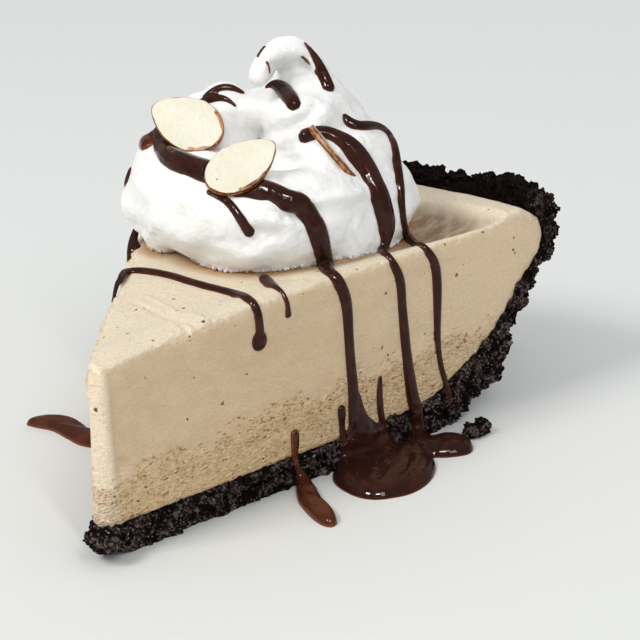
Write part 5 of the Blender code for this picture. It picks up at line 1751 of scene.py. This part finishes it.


# %% [markdown]
# Mocha ice cream is a warm beige. The melted edges are paler and shine a little. Towards the crust it turns
# yellower and grainy, with pores in flat rows along a level that rises to the right, and ground coffee
# shows as sparse brown specks. The top is paler, partly from its melted film and partly as painted sheen,
# and the point is painted lighter where the key light falls. The cream's shadow is painted dark into the
# hollow, and a painted warm brown shade lies close to the cream.

# %% Finish of the ice cream
def mocha_ground(tree, place, along, lower):
    """Beige above and yellower below. The top is paler from melting and painted sheen, the point has painted
    light, and painted shade lies in the hollow and by the cream.
    """
    colour = blend(tree, patchy(tree, scaled(tree, place, (1.0, 1.0, 1.8)), 0.22),
                   (0.60, 0.452, 0.282), (0.645, 0.495, 0.32))
    yellow = blend(tree, patchy(tree, scaled(tree, place, (1.0, 1.0, 2.2)), 1.4),
                   (0.66, 0.49, 0.27), (0.76, 0.575, 0.34))
    colour = glaze(tree, colour, lower, yellow)
    colour = glaze(tree, colour, kept(tree, "softened"), (0.70, 0.59, 0.44), 0.5)
    colour = glaze(tree, colour, graded(tree, along, 38.0, 95.0, 0.0, 0.7), (0.70, 0.545, 0.375))
    # The top painted paler: partly its melted film, partly painted sheen.
    colour = glaze(tree, colour, kept(tree, "top"), (0.70, 0.625, 0.485), 0.85)
    # Painted light: the point is made paler where the key light from the left falls on it.
    colour = glaze(tree, colour, graded(tree, along, 4.6, 3.2), (0.80, 0.69, 0.53), 0.8)
    # Painted shadow: the cream's shadow is painted dark into the hollow on the top, broken up by soft
    # streaks.
    sweep = cloud(tree, scaled(tree, place, (0.5, 1.6, 1.0)), 0.35, 3.0)
    painted_shadow = times(tree, kept(tree, "hollow"), graded(tree, sweep, 0.3, 0.6, 0.65, 1.0))
    colour = glaze(tree, colour, painted_shadow, (0.20, 0.11, 0.055))
    # Painted warm shade beside the cream's foot.
    return glaze(tree, colour, kept(tree, "near_cream"), (0.40, 0.20, 0.065), 0.85)


def burst_bubbles(tree, place, along, level, lower):
    """Pits crowded in flat rows, large and fine, and pinholes all over the lower part."""
    band = times(tree, graded(tree, level, 16.8, 14.6), graded(tree, level, 7.0, 12.5, 0.45, 1.0))
    in_rows = put(tree, "ShaderNodeCombineXYZ", {0: times(tree, along, 0.16), 2: times(tree, level, 0.75)})
    rows = cloud(tree, in_rows.outputs[0], 1.0, 2.0)
    crowded = times(tree, graded(tree, rows, 0.40, 0.58), band)
    flat = scaled(tree, place, (0.85, 0.85, 1.75))
    return (specked(tree, flat, 1.15, times(tree, crowded, 0.8), 0.36),
            specked(tree, flat, 2.1, times(tree, crowded, 0.9), 0.38),
            specked(tree, flat, 2.8, times(tree, lower, 0.45), 0.36))


def finish_ice_cream():
    material, tree, shader, where = new_finish(
        "mocha_ice_cream", Subsurface_Weight=0.3, Subsurface_Scale=0.0015, Specular_IOR_Level=0.45,
        Subsurface_Radius=(1.0, 0.62, 0.36))
    place = where["Place"]
    along = put(tree, "ShaderNodeSeparateXYZ", {0: place}).outputs["X"]
    level = socket_math(tree, "SUBTRACT", where["Height"], times(tree, along, 0.055))
    level = socket_math(tree, "ADD", level, times(tree, patchy(tree, place, 0.16), 2.4))
    lower = graded(tree, level, 16.5, 12.0)
    colour = mocha_ground(tree, place, along, lower)
    grain = cloud(tree, place, 2.6, 2.0)
    colour = glaze(tree, colour, graded(tree, grain, 0.4, 0.7, 0.0, 0.35), (0.50, 0.35, 0.19))
    grooves = cloud(tree, scaled(tree, place, (1.0, 1.0, 2.0)), 1.1, 3.0)
    grooved = times(tree, graded(tree, grooves, 0.42, 0.62, 0.45, 0.0), lower)
    colour = glaze(tree, colour, grooved, (0.44, 0.27, 0.115))
    (large, tint), (fine, _), (pinholes, _) = burst_bubbles(tree, place, along, level, lower)
    colour = glaze(tree, colour, fine, (0.40, 0.21, 0.075), 0.85)
    colour = glaze(tree, colour, pinholes, (0.42, 0.25, 0.10), 0.5)
    colour = glaze(tree, colour, large, blend(tree, tint, (0.28, 0.11, 0.026), (0.54, 0.27, 0.08)))
    coffee, tint = specked(tree, place, 0.55, 0.22, 0.17)
    colour = glaze(tree, colour, coffee, blend(tree, tint, (0.07, 0.02, 0.01), (0.36, 0.17, 0.06)))
    roughness = graded(tree, kept(tree, "softened"), 0.1, 0.9, 0.54, 0.36)
    graininess = times(tree, grooves, graded(tree, lower, 0.0, 1.0, 0.35, 1.0))
    pit_height = socket_math(tree, "SUBTRACT", 1.0, socket_math(tree, "MAXIMUM", large, fine))
    wire(tree, shader, colour, roughness, ((graininess, 0.75), (pit_height, 0.16), (grain, 0.10)))
    return material


# %% [markdown]
# The crust is nearly black outside. On the cuts the knife has broken the crumbs, so dull lighter lumps show
# there with dark gaps between them, more so low down, and painted glints, small light specks in the colour,
# stand for sugar and broken faces that catch the light. The cream is white all through: light goes in and
# comes out again, so most of its look is subsurface scattering, with a very fine bump of bubbles.

# %% Finish of the crust and the cream
def finish_crust():
    material, tree, shader, where = new_finish("cookie_crumb", Specular_IOR_Level=0.03)
    place, broken = where["Place"], kept(tree, "knifed")
    patches = patchy(tree, place, 0.9)
    outside = blend(tree, patches, (0.0022, 0.0012, 0.001), (0.0085, 0.0045, 0.0038))
    facets = put(tree, "ShaderNodeTexVoronoi", {"Vector": place, "Scale": 2.3})
    facet = put(tree, "ShaderNodeSeparateColor", {"Color": facets.outputs["Color"]}).outputs[0]
    on_cut = blend(tree, graded(tree, facet, 0.3, 1.0), (0.012, 0.0075, 0.0068), (0.14, 0.101, 0.093))
    lumps = graded(tree, patchy(tree, place, 0.42), 0.3, 0.58)
    gapped = blend(tree, lumps, (0.005, 0.003, 0.0026), on_cut)
    low_down = graded(tree, where["Height"], 34.0, 22.0, 0.45, 1.0)
    colour = glaze(tree, outside, times(tree, broken, low_down), gapped)
    # Painted glints: light specks in the colour, full on the cuts and weaker elsewhere.
    painted_glints, tint = specked(tree, place, 2.1, 0.2, 0.34)
    painted_glint_share = times(tree, painted_glints, graded(tree, broken, 0.0, 1.0, 0.14, 1.0))
    colour = glaze(tree, colour, painted_glint_share, blend(tree, tint, (0.10, 0.072, 0.066), (0.27, 0.215, 0.20)))
    dust = cloud(tree, place, 3.0, 2.0)
    wire(tree, shader, colour, graded(tree, patches, 0.0, 1.0, 0.5, 0.8), ((dust, 0.12),))
    return material


def finish_cream():
    material, tree, shader, where = new_finish(
        "whipped_cream", Subsurface_Weight=0.35, Subsurface_Scale=0.002, Specular_IOR_Level=0.3,
        Subsurface_Radius=(1.0, 0.92, 0.82))
    place = where["Place"]
    patches = patchy(tree, place, 0.25)
    colour = blend(tree, patches, (0.795, 0.79, 0.77), (0.84, 0.835, 0.82))
    bubbles = group(tree, pores, {"Vector": place, "Per mm": 1.9, "Openness": 0.55})
    wire(tree, shader, colour, graded(tree, patches, 0.0, 1.0, 0.38, 0.55),
         ((cloud(tree, place, 0.8, 3.0), 0.35), (bubbles["Height"], 0.03)))
    return material


# %% [markdown]
# An almond slice has an ivory face with faint streaks along it, and skin the colour of cinnamon round its
# edge. The sauce is dark and very smooth, so it mirrors the small lights as sharp white spots, and where it
# is thin its colour turns to red brown.

# %% Finish of the almonds and the sauce
def finish_almond():
    material, tree, shader, where = new_finish(
        "almond", Subsurface_Weight=0.15, Subsurface_Scale=0.001, Specular_IOR_Level=0.4)
    place = where["Place"]
    colour = blend(tree, patchy(tree, scaled(tree, place, (1.0, 1.0, 0.6)), 1.3),
                   (0.675, 0.64, 0.515), (0.71, 0.685, 0.56))
    colour = glaze(tree, colour, patchy(tree, place, 0.2), (0.68, 0.615, 0.43), 0.45)
    dots, _ = specked(tree, place, 0.3, 0.16, 0.1)
    colour = glaze(tree, colour, dots, (0.25, 0.13, 0.05), 0.8)
    brown = socket_math(tree, "ADD", kept(tree, "skin"), cloud(tree, place, 0.55, 1.5))
    brown = graded(tree, brown, 0.95, 1.08)
    near_face = socket_math(tree, "ABSOLUTE", socket_math(tree, "SUBTRACT", kept(tree, "rim"), 0.42))
    lines = socket_math(tree, "SUBTRACT", cloud(tree, place, 1.6, 2.0), near_face)
    skin = blend(tree, graded(tree, lines, 0.15, 0.5), (0.43, 0.165, 0.036), (0.10, 0.025, 0.007))
    colour = glaze(tree, colour, brown, skin)
    fibres = cloud(tree, scaled(tree, place, (1.0, 1.0, 0.4)), 2.0, 2.0)
    wire(tree, shader, colour, graded(tree, brown, 0.0, 1.0, 0.5, 0.4), ((fibres, 0.08),))
    return material


def finish_sauce(name, thick, thin, threshold):
    material, tree, shader, where = new_finish(name, Specular_IOR_Level=0.15)
    place = where["Place"]
    swirl = put(tree, "ShaderNodeTexNoise", {
        "Vector": place, "Scale": 0.16, "Detail": 2.0, "Distortion": 1.6})
    streaks = graded(tree, swirl.outputs["Fac"], 0.45, 0.62)
    colour = blend(tree, streaks, thick, tuple(value * 1.5 for value in thick))
    colour = glaze(tree, colour, graded(tree, kept(tree, "thin"), *threshold), thin)
    ripple = cloud(tree, place, 0.5, 1.0)
    wire(tree, shader, colour, graded(tree, streaks, 0.0, 1.0, 0.08, 0.14), ((ripple, 0.12),))
    return material


mocha, cookie, whipped, nut = finish_ice_cream(), finish_crust(), finish_cream(), finish_almond()
dark_sauce = finish_sauce("chocolate_sauce", (0.027, 0.0085, 0.0058), (0.085, 0.022, 0.010), (0.7, 1.1))
thin_sauce = finish_sauce("chocolate_sauce_thin", (0.056, 0.016, 0.008), (0.16, 0.045, 0.016), (0.3, 1.0))

# %% [markdown]
# ## Putting the pieces on the model
#
# Every piece gets its finish, rides on the slice's only body, and hides the solids that it stands for. The
# sauce stands for its own solids, and with the cream, the ice cream and the crust for theirs too, because
# the solids carry the streams as relief.

# %% Finishes, riding and replacing
def dress(obj, material, slot, nodes, smooth=True):
    obj.data.materials.clear()
    obj.data.materials.append(material)
    if smooth:
        obj.data.shade_smooth()
    else:
        obj.data.shade_flat()
    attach(obj, "root")
    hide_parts(*nodes)


SOLID_PIECES = (
    (ice_cream, mocha, "mocha_ice_cream", "ice_cream"),
    (cream, whipped, "whipped_cream", "whipped_cream"),
    (cream_teeth, whipped, "whipped_cream", "whipped_cream"),
    (crust, cookie, "cookie_crumb", "cookie_crust"),
    (crust_grains, cookie, "cookie_crumb", "cookie_crust"),
    (cut_grains, cookie, "cookie_crumb", "cookie_crust"),
    (crust_bits, cookie, "cookie_crumb", "cookie_crust"),
    (loose_lump, cookie, "cookie_crumb", "crust_crumb"),
    (lump_grains, cookie, "cookie_crumb", "crust_crumb"),
)
SAUCES = (
    ("sauce_streams_and_pool", dark_sauce, ["sauce_pool", "whipped_cream", "ice_cream", "cookie_crust"]),
    ("sauce_dabs_on_cream", dark_sauce, ["whipped_cream"]),
    ("sauce_in_fold", thin_sauce, ["whipped_cream"]),
    ("sauce_drips_over_top", dark_sauce, ["ice_cream"]),
    ("sauce_front_tongue", thin_sauce, ["sauce_tongue_front"]),
    ("sauce_bulb", thin_sauce, ["whipped_cream"]),
    ("sauce_far_side", dark_sauce, ["sauce_tongue_left", "ice_cream"]),
    ("sauce_left_tongue", thin_sauce, ["sauce_tongue_left"]),
)
facetted = (crust_grains, cut_grains, crust_bits, lump_grains)
for obj, material, slot, node in SOLID_PIECES:
    dress(obj, material, slot, [node], obj not in facetted)
for name, obj in almonds.items():
    dress(obj, nut, "almond", [name])
for name, material, nodes in SAUCES:
    dress(sauce[name], material, "chocolate_sauce", nodes)

# %% [markdown]
# ## Floor and light
#
# The slice stands on a plain pale floor. The key light comes from the left, so the top and the point are
# bright and the served cut lies in mild shade. A tall light over the viewer's right shoulder opens that
# shade, and a weak one from behind lifts the rim. The key and the back light don't show in reflections. Two
# small lights are the other way round: they are seen only as highlights, the sharp white spots on the
# sauce. The even light from all round is mirrored dimmer than it is.

# %% Floor and lights
FLOOR_REACH = 3000.0
WHITE = (1.0, 1.0, 1.0)
LIGHTS = (  # name; metres right, near and up from the slice; wide, tall; watts; colour; what it leaves out
    ("key", (-0.78, 0.4, 0.9), (0.42, 0.42), 8.4, (1.0, 0.985, 0.96), "visible_glossy"),
    ("front", (0.35, 0.85, 0.95), (0.10, 0.75), 3.8, WHITE, None),
    ("back", (0.35, -0.95, 0.5), (0.5, 0.3), 1.2, WHITE, "visible_glossy"),
    ("glint", (0.05, 0.8, 1.0), (0.34, 0.15), 17.0, WHITE, "visible_diffuse"),
    ("side_glint", (-0.6, 0.55, 0.9), (0.12, 0.2), 9.0, WHITE, "visible_diffuse"),
)


def make_stage():
    reach = FLOOR_REACH
    corners = [(-reach, -reach, 0), (reach, -reach, 0), (reach, reach, 0), (-reach, reach, 0)]
    floor = piece_from("floor", corners, (), [(0, 1, 2, 3)])
    material = bpy.data.materials.new("pale_floor")
    material.use_nodes = True
    shader = material.node_tree.nodes["Principled BSDF"]
    shader.inputs["Base Color"].default_value = (0.66, 0.67, 0.655, 1.0)
    shader.inputs["Roughness"].default_value = 0.6
    floor.data.materials.append(material)
    floor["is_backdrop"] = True


def soft_light(name, place, size, power, colour, left_out):
    data = bpy.data.lights.new(name, "AREA")
    data.shape = "RECTANGLE"
    data.size, data.size_y = size
    data.energy = power
    data.color = colour
    light = bpy.data.objects.new(name, data)
    bpy.context.scene.collection.objects.link(light)
    right, near, height = place
    light.location = LOOK_AT + VIEWER_RIGHT * right + VIEWER_NEAR * near + UP * height
    light.rotation_euler = (LOOK_AT - light.location).to_track_quat("-Z", "Y").to_euler()
    if left_out:
        setattr(light, left_out, False)


def make_world(colour, strength, mirrored):
    """Even light from all round; shiny things mirror it dimmer, like the room behind a light tent."""
    world = bpy.data.worlds.new("studio")
    world.use_nodes = True
    background = world.node_tree.nodes["Background"]
    background.inputs["Color"].default_value = (*colour, 1.0)
    ray = put(world.node_tree, "ShaderNodeLightPath")
    seen = graded(world.node_tree, ray.outputs["Is Glossy Ray"], 0.0, 1.0, strength, mirrored)
    world.node_tree.links.new(seen, background.inputs["Strength"])
    bpy.context.scene.world = world


make_stage()
for row in LIGHTS:
    soft_light(*row)
make_world((0.965, 0.98, 1.0), 0.74, 0.3)
bpy.context.scene.view_settings.view_transform = "Standard"

# %% [markdown]
# ## Sizes
#
# The dressed slice must stay the size of the imported model, so both boxes are printed side by side.

# %% Print the boxes
seen_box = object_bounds()
for label, corners in (("CAD", cad_box), ("dressed", seen_box)):
    print(label, "box in mm:", [[round(value / MM, 1) for value in corner] for corner in corners])
